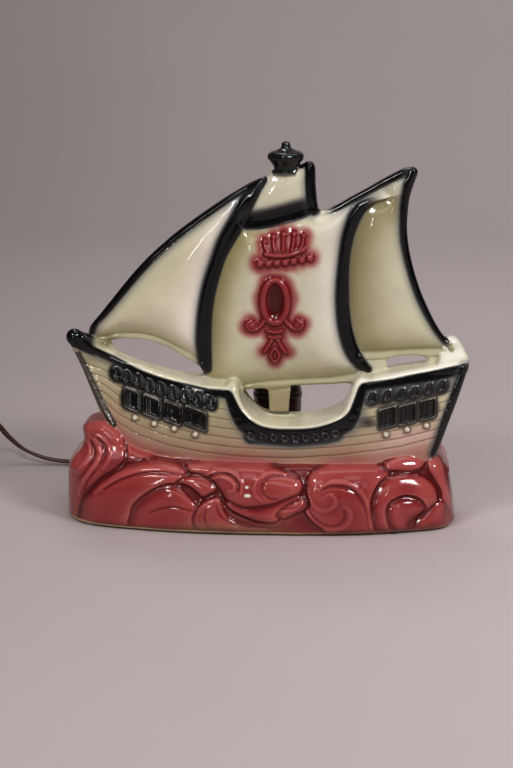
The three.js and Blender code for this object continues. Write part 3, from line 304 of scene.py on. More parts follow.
FOOTPRINT = points("""
-139,8 -138,-8 -134,-20 -128,-28.4 -119.4,-36 -111.6,-40.6 -96.8,-44.4 -74.8,-48.4 -52.9,-51.5
-38.5,-53 -24.2,-53.8 -3,-54 32.1,-52.5 60.3,-50.2 88.4,-46.4 102.4,-43.6 113,-40 123.7,-35
131,-29 137,-18 140,-6 140.5,8 139,26 134,38 124,47 112,51 96,52 -94,52 -110,51 -122,47 -132,38
-137.5,26""")  # x,y
LUMP = points("""
128.5,124 129.6,129.8 132.2,133 136.2,134.5 140.4,133.2 143.4,129.6 146.3,124.5 148.6,118.7
147.3,112.8 138,110 128.5,111""")
SPRIT = points("""
-131.5,120 -135.4,125.6 -136.8,131 -134,135.6 -127,134.9 -119,131 -110,126.2 -104,118
-124,114""")
HULL_HOLLOW = points("""
-92,40 -108,84 -116,108 -100,106 -76,100 -48,96 -28,94 -21,84 -12,72 2,66 34,65 56,70 70,82
76,98 100,104 134,109 124,78 112,40""")
BASE_HOLLOW = points("-131,-12 -133,10 -132,30 -126,42.5 -30,42.5 128,42.5 131,20 133,-12")

# Bands round the sails: x,z,half width. The jib is the sail at the bow, the mizzen at the stern.
JIB_BAND = points("""
2,245.9,3.42 -3.1,238.8,4.32 -7.5,231.8,5.04 -11,224.7,5.4 -14.3,217.6,5.58 -18.5,210.4,5.4
-22.6,203.3,5.15 -26.1,196.1,4.68 -28.9,188.9,4.39 -33.6,174.5,4.61 -36.9,160.1,4.68
-38.7,145.5,4.86 -39.3,130.9,5.04 -38.9,120,4.68 -38,110.4,3.96""")
MIZZEN_BAND = points("""
90,234.6,0.9 83,233,1.8 76.8,230.5,2.88 71.7,227,3.78 67.9,222,4.14 65,214.9,3.96
62.4,205.7,3.71 60.5,193.6,3.53 59.4,179.3,3.74 59.1,165,4.18 59.8,152.8,4.32 61.4,141.2,4.43
64.2,130.4,4.5 68.1,121.7,4.32 72.8,115.2,3.78 77.8,110.9,2.52""")
JIB_RIM = points("""
-120,135.4,1.44 -117.3,142.8,2.16 -110.7,150.2,2.52 -98.2,165.3,2.7 -83.5,182.5,2.7
-69.1,196.5,2.52 -54.7,208.4,2.34 -40.5,219,2.16 -26.3,228.8,1.8 -13.6,237.1,1.44
-2.3,243.5,1.08""")
MIZZEN_TOP = points("""
44,223.2,1.44 52.4,225.8,1.8 64.9,232.6,1.98 78.7,240.1,1.98 92.5,247.6,2.16
103.5,252.9,2.52""")
MIZZEN_RIM = points("""
107.3,252.9,2.88 104.7,244.2,3.06 102.8,235.8,2.88 101.7,225.3,2.7 101.6,214,2.52
102.3,204.1,2.52 104.7,192.8,2.52 108.1,180.7,2.52 112.5,168.6,2.7 118.1,156.4,2.88
124.7,144.9,2.88 131.2,134.9,2.52 137.1,127,1.8""")
TOPSAIL_RIM = points("""
36.5,256.1,2.88 36.9,249.4,3.06 37.2,240.3,3.06 37.9,231.9,3.06 38.8,225.6,2.88""")
TOPSAIL_FOOT = points("""
-8.4,215.9,4.68 -0.7,216.7,5.04 7.8,218.3,5.22 16.9,220.7,5.22 26.7,223.7,5.22
35,226.6,4.68""")

# Lines on the sails and hull: x,z.
JIB_LIP = points("""
-120.1,131.4 -110.7,131.9 -101.3,134.2 -92.6,134.8 -81.8,134.2 -71.1,131.5 -60.3,126.5
-49.6,120.8 -42.4,115.4""")
MAIN_LIP = points("""
-16.2,96.1 -2.6,99.6 8.2,101.3 22.4,102.6 36.7,103.6 51,104.6 65.2,107 70.8,108.2""")
MIZZEN_LIP = points("74.1,123.9 86.1,124.5 100.3,125.8 114.4,126.7 128.5,127.3 137,126.4")
JIB_RIDGE = points("-16,230 -24,217.5 -31,206 -38.5,196 -47,183.5 -54.5,172 -60.5,161 -64,151")
MAIN_RIDGE = points("-4,203 -12,190 -17.5,176 -20,160 -20.5,144")
RAIL_EDGE = points("""
-128.2,130.4 -120.9,127 -113.7,123.9 -106.3,120.7 -99,117.4 -91.6,114 -84.2,110.9 -76.8,108.7
-69.4,106.8 -62,105.4 -54.7,104.2 -47.5,103 -40.2,101.7 -33.1,100.7 -26,100.4 -20.4,100.2
-17.6,98.8 -15.8,95.9 -14.1,92.5 -11.6,88 -8.3,84 -4,80.1 0.6,77.1 6.2,75.1 14,74 23.9,73.9
34.5,74.4 42.2,75.4 49.2,77.3 55.8,79.8 61.4,82.9 65.2,87.1 67.2,91.6 69,96.5 70.5,100.9
72,104.2 74.2,106.3 77.4,106.9 83.7,107.7 93.5,109.1 100.5,110.5 107.4,112 114.4,113.3
121.4,114.6 128.3,116.1 135.3,117.7 142.3,119.2 148.2,120.3""")
STEM_STRIP = points("""
-130.9,122.3 -129.2,118.2 -125.7,111 -122.3,104.8 -118.8,98.1 -115.3,91.7 -111.5,84.7
-108,78.7 -105,74 -103.5,71.9""")
STERN_STRIP = points("""
146.2,116.5 142.6,106.5 139.6,97 136.4,87.4 133,77.8 129.8,68.4 127.2,60.4 125.4,54.6""")
SHEER = points("-131,121 -100,110.5 -60,99 -20,93 30,90.5 80,95 120,102.5 148,109.5")
LOWEST_PLANK = points("""
-112,84 -99.8,73.5 -83.5,65.5 -61.7,59.2 -40.1,55.6 -11.6,53 23.9,52.5 59.2,55.2 101.4,60.8
126.7,67.2 140,72""")
HULL_LOW = points("""
-104.2,71.9 -99.8,67.2 -92.4,61.1 -83.7,56.5 -72.8,52.6 -61.9,49.5 -50.3,46.8 -35.2,47.1
-20.1,49.9 -5.9,50 9.8,47.8 24,43.6 34.6,41.9 43.1,44.9 55,48.3 69.8,50 81.8,50.3 90.3,50.8
97.3,53.3 106.4,55.3 119.1,58.3 127.7,55.5""")

# Centres of the openings and beads on the hull: x,z.
PORTS_BOW = points("""
-101.2,107.3 -93.8,105.4 -85.9,103.6 -77.7,100.7 -68.8,98.8 -60,96.8 -51.3,94.8 -42.6,93
-32.5,91.7""")
GUNS_BOW = points("-90.4,90 -75.5,86.2 -60.1,82.7 -43.1,79.8")
PORTS_STERN = points("81.1,96.2 91.6,97.8 101.4,98.8 110.8,100.1 121,102.5 130,104.2")
GUNS_STERN = points("92.2,82.4 106.2,84.7 120.5,88.1")
RINGS = points("""
-3.6,68.1 4.9,67.9 12.6,67.3 20.4,66.7 27.8,66.5 35.2,67.3 42.2,68.1 48.9,68.9 55.9,70.7""")
BALLS = points("-87.1,77.7 -73.1,74.4 -58.5,71.7 -43.4,68.2 91.4,70 106.1,73.4 119.7,76")

# Wave lobes in the order they overlap: reach of the rounding, height, outline.
LOBES = [
    (12, 7.0, points("""
-139.3,1.6 -139.1,16.3 -139.4,30.3 -137.4,41.4 -133.2,49.2 -128.8,53 -126.8,58.5 -126.7,64.5
-125.8,69.3 -122.6,72.4 -118.7,74.3 -114.2,75.6 -108.8,75.8 -102.5,71.2 -97.8,67.6 -94.8,63.4
-92.6,56 -92.8,49.9 -97.8,43.4 -104.7,38.3 -112.6,31.6 -119.1,25.7 -123.3,21.4 -125.1,16.9
-127.5,10.8 -130.7,1.5""")),
    (6, 3.2, points("""
-94.8,64.9 -91.2,61.5 -83,57.2 -69.6,51.6 -75.2,48.7 -85.5,47.4 -95.6,43.3 -93,50""")),
    (12, 6.2, points("""
-126.8,-0.2 -126.3,13.2 -123.6,21 -118.5,27.7 -111.7,34 -101.8,40.4 -94,45.4 -86.2,48.6
-77.5,50.3 -66.8,50.5 -57.1,49.1 -51.3,46.4 -48.6,43.5 -50.2,38.3 -56.5,31.4 -74.4,20 -81.7,1.4
-111.7,-5.6""")),
    (11, 5.6, points("""
-89.1,0.8 -88.2,13.2 -86.3,19.1 -79.6,26 -70,32.1 -60.4,35.4 -52.6,33.1 -46.7,28 -41.3,22.8
-38.4,15.1 -41.2,0.5 -67.2,-4.8""")),
    (6, 4.0, points("""
-56.6,35.4 -53.1,38.2 -48.9,40.4 -43.9,41.6 -38.5,41.7 -34.6,40.6 -30.8,38.4 -28.1,35.2
-26.3,32.3 -31.4,28.6 -37.1,26.2 -41.9,30.1 -48.7,34.1""")),
    (9, 5.4, points("""
-36.2,-0.8 -41.9,4.2 -43.6,10.6 -42.6,15.2 -38.9,22 -33.3,25.9 -27.6,27.9 -23.8,27 -22.9,23.4
-19.9,16.1 -14.2,10.6 -4.7,6.9 11.2,5.3 11.2,-1.6""")),
    (12, 6.6, points("""
-48.8,48.2 -42.1,49.4 -34.1,50.3 -19.9,52.9 -5.7,52.9 4.6,51.5 13.9,47.8 24,44.9 30.9,41.8
34,37.2 33.3,31.6 26.4,25.9 16.6,21.5 6.8,19.4 -4.4,19.2 -15,21.4 -21,26.4 -24.9,32 -31,38.4
-38.5,41.7 -47.1,43.1""")),
    (8, 4.8, points("""
-22.1,23.9 -16.1,17.9 -4.7,12.7 5.5,9.9 14.7,10.1 20.9,15.8 29.2,22.1 34,26.9 29.1,29.5 11,23.3
-6.6,20.9 -17.2,24.8""")),
    (6, 3.2, points("""
15.3,15.7 20.1,21.3 27.8,25.5 34.7,27.5 37.6,23.4 34.2,18.6 27.9,15.8 20.9,13""")),
    (12, 7.2, points("""
36.1,31.6 35.8,37.5 36.9,42.1 38.8,44.7 43.6,47.6 49,49.1 55.2,50.6 62.9,51.4 69.9,51.6
76.9,51.5 81.9,50.8 86.1,49.3 89.7,46.9 95.4,42.3 90.6,32 88,22 92.6,-3.4 53.3,-1.7 47.6,5.8
40.6,11.6 35.4,18.2 38.3,23.4""")),
    (7, 5.2, points("""
89.6,49.1 93.1,51.5 97.7,53.5 102.2,54.8 106.5,55.2 110.7,54.9 114.6,53.7 118.6,50.5 119.3,47.2
116.5,44.1 110.9,42.6 100.3,43.4 93.2,44.4""")),
    (8, 5.0, points("""
120.6,50.9 123.6,52.3 127.8,52.2 132.2,47.3 134.5,38.5 138.3,24.6 143.9,-1.4 130.9,0.4
131.2,21.9 129.9,28.9 124.8,36.8 120.7,44.5""")),
    (9, 6.2, points("""
86.9,1.4 83.7,8.9 82,16.1 81.5,21 82,25.7 84,31.7 87.7,37.5 92.6,40.9 98.9,42.8 104.5,43.1
109.8,42.5 115.5,41 120.8,38.2 125.2,34.1 128.2,29.1 129.2,23.1 127.6,19.5 123.4,16.4 118.2,13.4
113.6,9.6 112.3,5.3 113.8,-0.7 102.5,-4.2""")),
    (8.5, 6.6, points("""
96,5.2 93.4,11.9 92.7,17.6 93.6,21.7 96.4,24.9 102,27.3 107.6,27.5 112.6,26.3 116.9,23.7
119.4,20.3 119.6,16.8 116.7,13.6 112.2,10.8 109,7.8 108.1,2.8 101,0.4""")),
    (8, 5.4, points("""
111,-1.9 111.9,5.4 115,10.2 119.5,14 124.1,18.1 127.6,20.9 131,22.3 133.7,19.9 136.3,14.3
140.1,7.3 142.4,-1.2 131,-5.6""")),
]
# Raised strands and cut lines on the waves, one after each semicolon: x,z,half width.
STRANDS = """
-118.8,62.1,1.58 -115,59.2,1.87 -112.8,55.7,2.16 -112.3,51.3,2.16 -114.6,45.2,2.16
-119.3,39.4,2.02 -123.3,33.9,1.87 -126.6,28.3,1.73 -128.4,21.1,1.3;
-114.9,64.4,1.3 -110.4,62.3,1.44 -106.7,58.6,1.58 -104.6,54.2,1.58 -105.4,48.7,1.44
-108.8,43.1,1.15;
-121.5,58.8,1.01 -120.2,55,1.15 -121,49.7,1.3 -124.9,44,1.44 -128.9,38.9,1.44 -131.3,31.8,1.15;
-92,62.6,1.01 -91,57,1.3 -90.8,51.2,1.15;
-115.1,25.6,1.3 -108.4,31.5,1.73 -96.7,39,2.16 -82.2,44.2,2.16 -66.2,46.1,1.87 -54.6,45.1,1.3;
-35.2,42,1.01 -31.1,44.5,1.3 -26.1,46.1,1.44 -18.6,46.3,1.44 -13.3,43.9,1.44 -9.7,40,1.44
-8.7,35.5,1.3 -9.8,30.8,1.01;
-29.5,40.2,1.01 -25.3,41.9,1.3 -20.3,41.8,1.44 -15.5,39.2,1.58 -13.8,35.7,1.44 -15.8,32.8,1.15
-19,32.2,0.86;
20.2,44.1,0.86 14.3,45.4,1.08 8.5,44.7,1.22 3.6,42.2,1.3 0.6,38.6,1.3 -0.1,34.3,1.3
1.5,29.7,1.22 5.4,26.2,1.01;
45.1,34.2,0.86 48.2,37.3,1.15 53.4,39.4,1.44 60.4,39.6,1.58 67.4,37.8,1.58 73.1,33.9,1.44
77.8,28.1,1.3 81,20.1,1.15 83.3,10.8,1.01;
36.8,34.6,1.15 37.9,28.6,1.44 41.2,23.5,1.58 46.1,20.5,1.58 51.7,20.3,1.44 55.8,23,1.44
57.2,27,1.3 55,30.4,1.15 51.1,31.2,1.01 48.8,28.9,0.86;
36.4,18.4,1.15 40.6,12.4,1.44 46.3,7.7,1.44 53.3,5.2,1.44 59.9,6,1.44 65.1,9.4,1.44 67.8,15,1.44
66.7,19.9,1.3 62.8,23.1,1.01;
15.3,18.6,0.86 22.4,18.4,1.08 28.6,20.1,1.01 33.5,23.9,0.86;
20.9,21.8,0.72 27.2,22.5,0.94 32,25.3,0.86 36.2,28,0.72;
-34.6,2.8,1.15 -40,7.6,1.44 -41,13.3,1.44 -39,18.6,1.44 -34.8,23.3,1.44 -29.1,25.9,1.3
-24.9,25.3,1.15 -23,21.6,1.08 -19.8,14.8,1.08 -12.7,9.3,1.08 -2.8,5.9,1.01;
-21.3,20.3,0.94 -15.5,14.5,1.15 -5.6,10.5,1.22 5.6,8.3,1.22 14.8,8.8,1.08 21,14.2,0.86"""
CUTS = """
-108.3,28.4,0.72 -96.6,36,0.86 -82,41.5,0.94 -66.1,42.9,0.86 -50.9,41.4,0.72;
-74.1,14.9,0.72 -68.3,17.8,0.86 -61.1,19.6,0.94 -52.2,19.5,0.94 -43.9,17.7,0.72;
-118.3,64.4,0.72 -118.8,59.1,0.94 -116.7,54,1.08 -116.7,48.9,1.08 -120.2,42.6,1.08
-125.3,35.3,1.01 -127.8,28.2,0.79;
-113.4,62.7,0.72 -109.3,58,0.94 -108.3,52.9,1.01 -110.9,46.9,1.01 -115.5,40.4,0.94
-120.6,33.2,0.86 -123.5,26,0.72;
5.2,35.7,0.86 6.5,39.4,1.01 10.7,42,1.08 17.6,42.9,1.08 26.1,42,1.01 31,39.9,0.86;
5.2,35,0.86 6.7,30.8,1.01 11,28.1,1.01 15.9,27.5,0.86;
47.2,33.9,0.86 52.1,36.5,1.08 59.8,36.6,1.15 66.8,34.5,1.15 72.1,30.6,1.08 76.1,24.7,1.01
78.7,16.7,0.94 80.5,6.6,0.79;
-34,18.5,0.72 -35.4,13.5,0.94 -33.6,7.9,1.01 -29.6,4.1,0.86;
-26.9,22.2,0.72 -24.8,16.7,0.94 -19.8,11.2,1.01 -11.3,7.2,0.86;
38.4,19.4,0.72 44.1,12.7,0.94 51.9,9.1,1.01 58.8,9.6,1.01 63.3,14.5,0.94 62.9,19.4,0.79;
-32.4,41.1,0.72 -27.5,43.6,0.86 -20.4,44.1,1.01 -14.7,41.5,1.01 -11.5,37.4,1.01 -11.8,32.7,0.86"""

# ------------------------------------------------------------ shape of the sails
SAIL_HALF = 3.5  # half thickness at the edge
wobble = 0.28 * value_noise(23, 1) + 0.12 * value_noise(9, 2)  # hand-made unevenness

# Name: line, curve steps, height, widening of the bead.
BANDS = {
    "jib_band": (JIB_BAND, 4, 4.2, 1.12),
    "mizzen_band": (MIZZEN_BAND, 4, 4.2, 1.12),
    "jib_rim": (JIB_RIM, 3, 2.2, 1.35),
    "mizzen_top": (MIZZEN_TOP, 3, 2.0, 1.35),
    "mizzen_rim": (MIZZEN_RIM, 3, 2.4, 1.3),
    "topsail_rim": ([(x - 0.4, z, w * 1.3) for x, z, w in TOPSAIL_RIM], 4, 3.6, 1.1),
    "topsail_foot": (TOPSAIL_FOOT, 4, 2.4, 1.25),
}
band_maps = {}
band_relief = np.zeros_like(X)
for name, (rows, steps, height, widening) in BANDS.items():
    band_maps[name] = line_map(curve(rows, steps), 26)
    d, half_width = band_maps[name][:2]
    bead = height * dome(d, half_width * widening) * (half_width > 0)
    band_relief = np.maximum(band_relief, bead)

# Sail panels: outlines that run along the middles of the bands.
JIB_PANEL = first_two(JIB_RIM) + first_two(JIB_BAND)[1:] + JIB_LIP[::-1]
MAIN_PANEL = (
    first_two(JIB_BAND)[4:] + [(-38.5, 104), (-27, 96.5)] + MAIN_LIP + [(74, 112)]
    + first_two(MIZZEN_BAND)[::-1] + [(84, 243)] + first_two(MIZZEN_TOP)[3::-1]
    + first_two(TOPSAIL_FOOT)[::-1]
)
MIZZEN_PANEL = (
    first_two(MIZZEN_BAND) + MIZZEN_LIP + first_two(MIZZEN_RIM)[::-1]
    + first_two(MIZZEN_TOP)[:3:-1] + [(84, 243)]
)
TOPSAIL_PANEL = (
    first_two(JIB_BAND)[:3] + [(-9.5, 224.7), (-8.4, 215.9)] + first_two(TOPSAIL_FOOT)
    + first_two(TOPSAIL_RIM)[::-1] + [(34, 257.5), (22, 254), (9, 251)]
)
jib_depth, main_depth, mizzen_depth, topsail_depth = (
    -outline_map(panel, 2) for panel in (JIB_PANEL, MAIN_PANEL, MIZZEN_PANEL, TOPSAIL_PANEL)
)


def inflate(depth, edge, reach, height):
    """A sail filled by the wind: it rises from its edge and levels off at reach inside."""
    return height * blur(pillow(depth - edge, reach), 2.6, STEP)


billow = np.maximum.reduce([
    inflate(jib_depth, edge=2.0, reach=25, height=9.5),
    inflate(main_depth, edge=2.2, reach=32, height=12.5),
    inflate(mizzen_depth, edge=2.0, reach=24, height=8.5),
    inflate(topsail_depth, edge=1.5, reach=13, height=6.0),
])

# Rolled lips along the bottoms of the sails, with a groove above each.
lips = np.zeros_like(X)
for rows, rise in ((JIB_LIP, 1.6), (MAIN_LIP, 2.0), (MIZZEN_LIP, 1.8)):
    groove = curve(rows)
    lips = np.maximum(lips, rise * dome(line_map(groove - [0, 3.1], 8)[0], 3.2))
    lips -= 0.5 * bell(line_map(groove, 8)[0], 0.8)

# Relief ornament of the main sail.
ornament = np.zeros_like(X)  # raised height
ornament_gap = np.full(X.shape, 40.0, np.float32)  # distance to any part of it


def raise_line(rows, rise, closed=False):
    """Adds a half-round line; rows are x, z, radius."""
    d, radius, _, _ = line_map(curve(rows, 5, closed), 16, closed)
    np.maximum(ornament, rise * dome(d, radius * (radius > 0) + 0.01), out=ornament)
    np.minimum(ornament_gap, d - radius, out=ornament_gap)


def raise_ball(x, z, radius, rise):
    cells = around(x, z, 18)
    d = np.hypot(X[cells] - x, Z[cells] - z)
    ornament[cells] = np.maximum(ornament[cells], rise * dome(d, radius))
    ornament_gap[cells] = np.minimum(ornament_gap[cells], d - radius)


OVAL_X, OVAL_Z = 12.0, 162.4
oval = [
    (OVAL_X + 8.6 * math.sin(a), OVAL_Z + 15.2 * math.cos(a) - 1.0)
    for a in np.linspace(0, 2 * math.pi, 20, endpoint=False)
]
oval_inside = (np.hypot((X - OVAL_X) / 5.6, (Z - OVAL_Z + 1.0) / 12.2) - 1) * 6.0
for radius, rise, closed, rows in (
    (2.3, 2.5, True, oval),
    # Scrolls from the oval's foot out to a ball each side.
    (1.5, 2.0, False, points("5.5,152 4.3,147.6 1.6,143.8 -2,141.2 -6,141.6 -7.6,145 -4.6,147.2")),
    (1.5, 2.0, False, points("18.5,152 19.5,148 22,144.6 25.4,142.2 29.6,142.4 31.4,145.8 28.4,148")),
    # Collar and lozenge.
    (1.3, 1.8, False, points("7,140.4 12,139.4 17,140.4")),
    (1.1, 1.6, False, points("8,136.2 12,135.4 16,136.4")),
    (1.2, 1.6, False, points("9.6,133.4 7.2,129 4.4,125.2")),
    (1.2, 1.6, False, points("14.2,133.4 16.6,129 19.6,124.6")),
    (0.9, 1.6, True, points("11.9,127.4 15,122.4 11.9,117.4 8.8,122.4")),
    # Base of the coronet.
    (1.7, 2.0, False, points("5.6,195.2 14,194 24,195.4 31.4,198.4")),
):
    raise_line([(*row, radius) for row in rows], rise, closed)
raise_ball(-4.6, 143.6, radius=3.4, rise=2.4)
raise_ball(28.2, 144.6, radius=3.4, rise=2.4)
for i in range(7):  # bead row
    t = i / 6
    raise_ball(1.4 + 35 * t, 187.2 + 4.4 * t + 2.6 * abs(t - 0.5) ** 1.5, radius=2.5, rise=2.1)
# The coronet's balls (x, z, radius), each on its stem.
CORONET = points("4.6,203.4,1.6 10.6,206.6,1.7 17.6,208.6,1.9 25,209.2,1.7 31.6,208.2,1.6")
for i, (x, z, radius) in enumerate(CORONET):
    raise_ball(x, z, radius, rise=2.2)
    foot = (x * 0.8 + 3.6, 196.6 + 0.4 * i, 1.3)
    raise_line([foot, (x * 0.96 + 0.6, (z + 196) / 2, 1.1), (x, z - 1, 0.8)], 1.7)
# The oval is sunk, and the whole ornament stands on a slightly raised, softly edged field.
ornament_relief = ornament - 0.9 * ease(0.4, -1.2, oval_inside)
ornament_relief += 0.5 * ease(2.5, -0.5, ornament_gap)

# The creases of the jib and the mainsail.
ridge = np.zeros_like(X)
for rows, rise, width in ((JIB_RIDGE, 1.5, 6.0), (MAIN_RIDGE, 1.0, 6.5)):
    d, _, _, run = line_map(curve(rows), 24)
    crease = rise * np.exp(-np.sqrt((d / width) ** 2 + 0.09))
    ridge = np.maximum(ridge, crease * ease(0, 0.12, run + 0.06) * ease(1.0, 0.88, run - 0.06))
fine_billow = refine(billow)
fine_billow = fine_billow + blur(ridge, 1.0) * ease(2, 6, fine_billow)
sail_front = -SAIL_HALF - (
    fine_billow * (1 - 0.55 * ease(0.2, 2.0, band_relief)) + band_relief + lips
    + ornament_relief * ease(1.5, 3.5, fine_billow)
) - wobble
sail_back = SAIL_HALF - 0.82 * billow


# ---------------------------------------------------- surfaces of hull and waves
def hull_front(x, z):
    bow_rail = -9 - 18 * ease(-134, -25, x)
    stern_rail = -27 + 5 * ease(60, 145, x)
    rail = np.where(x < -25, bow_rail, stern_rail)
    low = -9 - 25 * np.clip(1 - (np.abs(x - 10) / 150) ** 2.2, 0, 1) ** 0.8
    t = np.clip((112 - z) / 60, 0, 1)
    return rail + (low - rail) * t * t * (3 - 2 * t) - 3.5 * np.sin(math.pi * t)


def hull_back(x):
    return 12 - 5 * np.clip(-(x + 60) / 75, 0, 1) ** 1.5 - 2 * np.clip((x - 90) / 55, 0, 1)


def wave_front(x, z):
    t = np.clip(z / 58, 0, 1)
    aside = np.abs(x + 4) / 140
    return -54 + 24 * aside ** 2.6 + 17 * t * t + 3 * t * aside ** 2


# ----------------------------------------------------------- relief of the hull
rim_distance, _, rim_side, _ = line_map(curve(RAIL_EDGE, 3), 30)
above_rail = np.where(rim_side > 0, rim_distance, -rim_distance)
hull_relief = np.zeros_like(X)
port_black = np.zeros_like(X)  # black spray round and inside the openings
# Pale raised edges of the openings, with painted highlight along the portholes' upper sides.
port_edges_and_highlight = np.zeros_like(X)  # bare raised edges


def keep_most(field, cells, value):
    field[cells] = np.maximum(field[cells], value)


def leaning_box(x, z, width, height, radius, lean):
    """Cells round a rounded box, the distance to it, and the offsets from its middle."""
    cells = around(x, z, max(width, height) + 7)
    u = X[cells] - x
    v = Z[cells] - z - lean * u
    qx, qz = np.abs(u) - width / 2 + radius, np.abs(v) - height / 2 + radius
    outer = np.hypot(np.maximum(qx, 0), np.maximum(qz, 0))
    return cells, np.minimum(np.maximum(qx, qz), 0) + outer - radius, u, v


def porthole(x, z, width, height, lean):
    cells, d, u, v = leaning_box(x, z, width, height, 0.46 * width, lean)
    hull_relief[cells] += 0.75 * bell(d, 0.62) - 0.9 * ease(0.0, -1.2, d)
    keep_most(port_black, cells, np.maximum(ease(3.6, 0.6, d) * 0.8, ease(0.8, -0.2, d)))
    # Painted highlight: the porthole's pale rim is strongest along its upper side.
    lit = 0.04 + 0.95 * ease(0.25, 1.15, v / height * 2 - 0.35 * u / width)
    keep_most(port_edges_and_highlight, cells, bell(d - 0.2, 0.42) * lit)


def gunport(x, z, width, height, lean, bars):
    """A square port; bars are places across it as parts of its width."""
    cells, d, u, v = leaning_box(x, z, width, height, 0.8, lean)
    hull_relief[cells] += 0.95 * bell(d, 0.8) - 1.1 * ease(-0.2, -1.4, d)
    keep_most(port_black, cells, np.maximum(ease(3.4, 0.6, d) * 0.85, ease(0.9, -0.1, d)))
    light = bell(d - 0.3, 0.5) * (0.04 + 0.8 * ease(0.7, 1.0, np.abs(v) / height * 2))
    for place_across in bars:
        bar = bell(u - place_across * width, 0.42) * ease(0.2, -0.9, d)
        hull_relief[cells] += 0.6 * bar
        light = np.maximum(light, 0.22 * bar)
    keep_most(port_edges_and_highlight, cells, light)


for x, z in PORTS_BOW:
    porthole(x, z, width=5.4, height=8.4, lean=-0.33)
for x, z in PORTS_STERN:
    porthole(x, z, width=5.8, height=8.0, lean=0.2)
for (x, z), width in zip(GUNS_BOW, (9.6, 10.6, 10.8, 14.0)):
    gunport(x, z, width, 12.6, lean=-0.32, bars=(-0.2,) if width < 12 else (-0.22, 0.22))
for (x, z), width in zip(GUNS_STERN, (10.4, 10.4, 9.4)):
    gunport(x, z, width, 13.2, lean=0.25, bars=(0.0,) if width > 10 else (0.12,))
for x, z in RINGS:
    cells = around(x, z, 6)
    d = np.hypot((X[cells] - x) / 0.9, Z[cells] - z) - 2.3
    hull_relief[cells] += 0.55 * bell(d, 0.55) - 0.5 * ease(-0.2, -1.2, d)
    keep_most(port_edges_and_highlight, cells, 0.42 * bell(d - 0.1, 0.42))

# Planks: lines between the sheer and the bottom of the hull.
PLANKS = 6.0
sheer_z, lowest_z = (height_at(rows, fine_x)[:, None] for rows in (SHEER, LOWEST_PLANK))
plank_number = (sheer_z - Z) / (sheer_z - lowest_z) * PLANKS
from_seam = np.abs(plank_number - np.round(plank_number)) * (sheer_z - lowest_z) / PLANKS
planked = (plank_number > 0.5) & (plank_number < 6.6) & (above_rail < -5)
plank = bell(from_seam, 0.42) * planked * (1 - ease(0.25, 0.75, port_black))
hull_relief -= 0.4 * plank

# The strip up the stem, the band at the stern and the rail's bead.
stem_distance, _, _, stem_run = line_map(curve(STEM_STRIP, 3), 12)
stern_distance = distance(STERN_STRIP, 14, steps=3)
stem_bead = dome(stem_distance, 2.1 * ease(1.0, 0.6, stem_run) + 0.5)
hull_relief += stem_bead + 0.8 * dome(stern_distance, 3.2)
hull_relief += 0.35 * bell(above_rail - 1.6, 3.0)
hull_face = hull_front(X, Z) - hull_relief - 0.5 * wobble

# ---------------------------------------------------------- relief of the waves
lobe_relief = np.zeros_like(X)
lobe_edge = np.full(X.shape, 30.0, np.float32)  # distance to the edges of the lobes
for reach, height, rows in LOBES:
    d = outline_map(rows, 4, margin=14, grid=FINE)
    lobe_relief = np.where(d < 0, height * pillow(-d, reach), lobe_relief)
    lobe_edge = np.where(d < 0, np.abs(d), np.minimum(lobe_edge, np.abs(d)))
strands = np.zeros_like(X)
for text in STRANDS.split(";"):
    d, radius, _, _ = line_map(curve(points(text)), 7)
    bead = (0.75 * radius + 0.35) * dome(d, radius * 1.15 + 0.01) * (radius > 0)
    strands = np.maximum(strands, bead)
cuts = np.zeros_like(X)
for text in CUTS.split(";"):
    d, radius, _, _ = line_map(curve(points(text)), 7)
    cuts = np.maximum(cuts, 1.1 * bell(d, radius * 0.8 + 0.25) * (radius > 0))
wave_relief = blur(lobe_relief, 0.8) + 0.7 * strands - cuts
wave_relief -= 0.5 * bell(lobe_edge, 1.0)
wave_face = (
    wave_front(X, Z) + 1.4 - wave_relief * ease(-1.0, 7.0, Z - 1.5)
    + 0.7 * ease(4.2, 1.8, Z) - 0.5 * wobble
)

# ------------------------------------------------------- the casting as a field
field = np.full((len(grid_x), len(grid_y), len(grid_z)), 30.0, np.float32)
parts = {}  # name: outline distance, front, back, edge radius


def span(low, high, axis):
    i, j = np.searchsorted(axis, [low, high])
    return slice(max(i - 1, 0), min(j + 1, len(axis)))


def block(x_low, x_high, y_low, y_high, z_low, z_high):
    """The field's cells in a box, and their X, Y and Z laid out to broadcast."""
    cells = span(x_low, x_high, grid_x), span(y_low, y_high, grid_y), span(z_low, z_high, grid_z)
    x, y, z = grid_x[cells[0]], grid_y[cells[1]], grid_z[cells[2]]
    return cells, x[:, None, None], y[None, :, None], z[None, None, :]


def level(y):
    return np.full(X_LOW.shape, y, np.float32)


def smooth_min(a, b, blend):
    q = np.maximum(blend - np.abs(a - b), 0) / blend
    return np.minimum(a, b) - q * q * blend / 4


def unite(cells, d, blend):
    field[cells] = smooth_min(field[cells], d, blend)


def carve(cells, d, blend):
    field[cells] = -smooth_min(-field[cells], d, blend)


def rounded(a, b, radius):
    """Both distances at once, with the edge between them rounded."""
    a, b = a + radius, b + radius
    outer = np.sqrt(np.maximum(a, 0) ** 2 + np.maximum(b, 0) ** 2)
    return np.minimum(np.maximum(a, b), 0) + outer - radius


def upright(outline, cells):
    return outline[cells[0], cells[2]][:, None, :]


def between(front, back, cells, y):
    return np.maximum(upright(front, cells) - y, y - upright(back, cells))


def add_slab(name, outline, front, back, radius, blend, box):
    """Unites with the field a body of an outline between two surfaces."""
    parts[name] = (outline, front, back, radius)
    cells, _, y, _ = block(*box)
    unite(cells, rounded(upright(outline, cells), between(front, back, cells, y), radius), blend)


def cut_slab(outline, front, back, blend, box):
    cells, _, y, _ = block(*box)
    carve(cells, np.maximum(upright(outline, cells), between(front, back, cells, y)), blend)


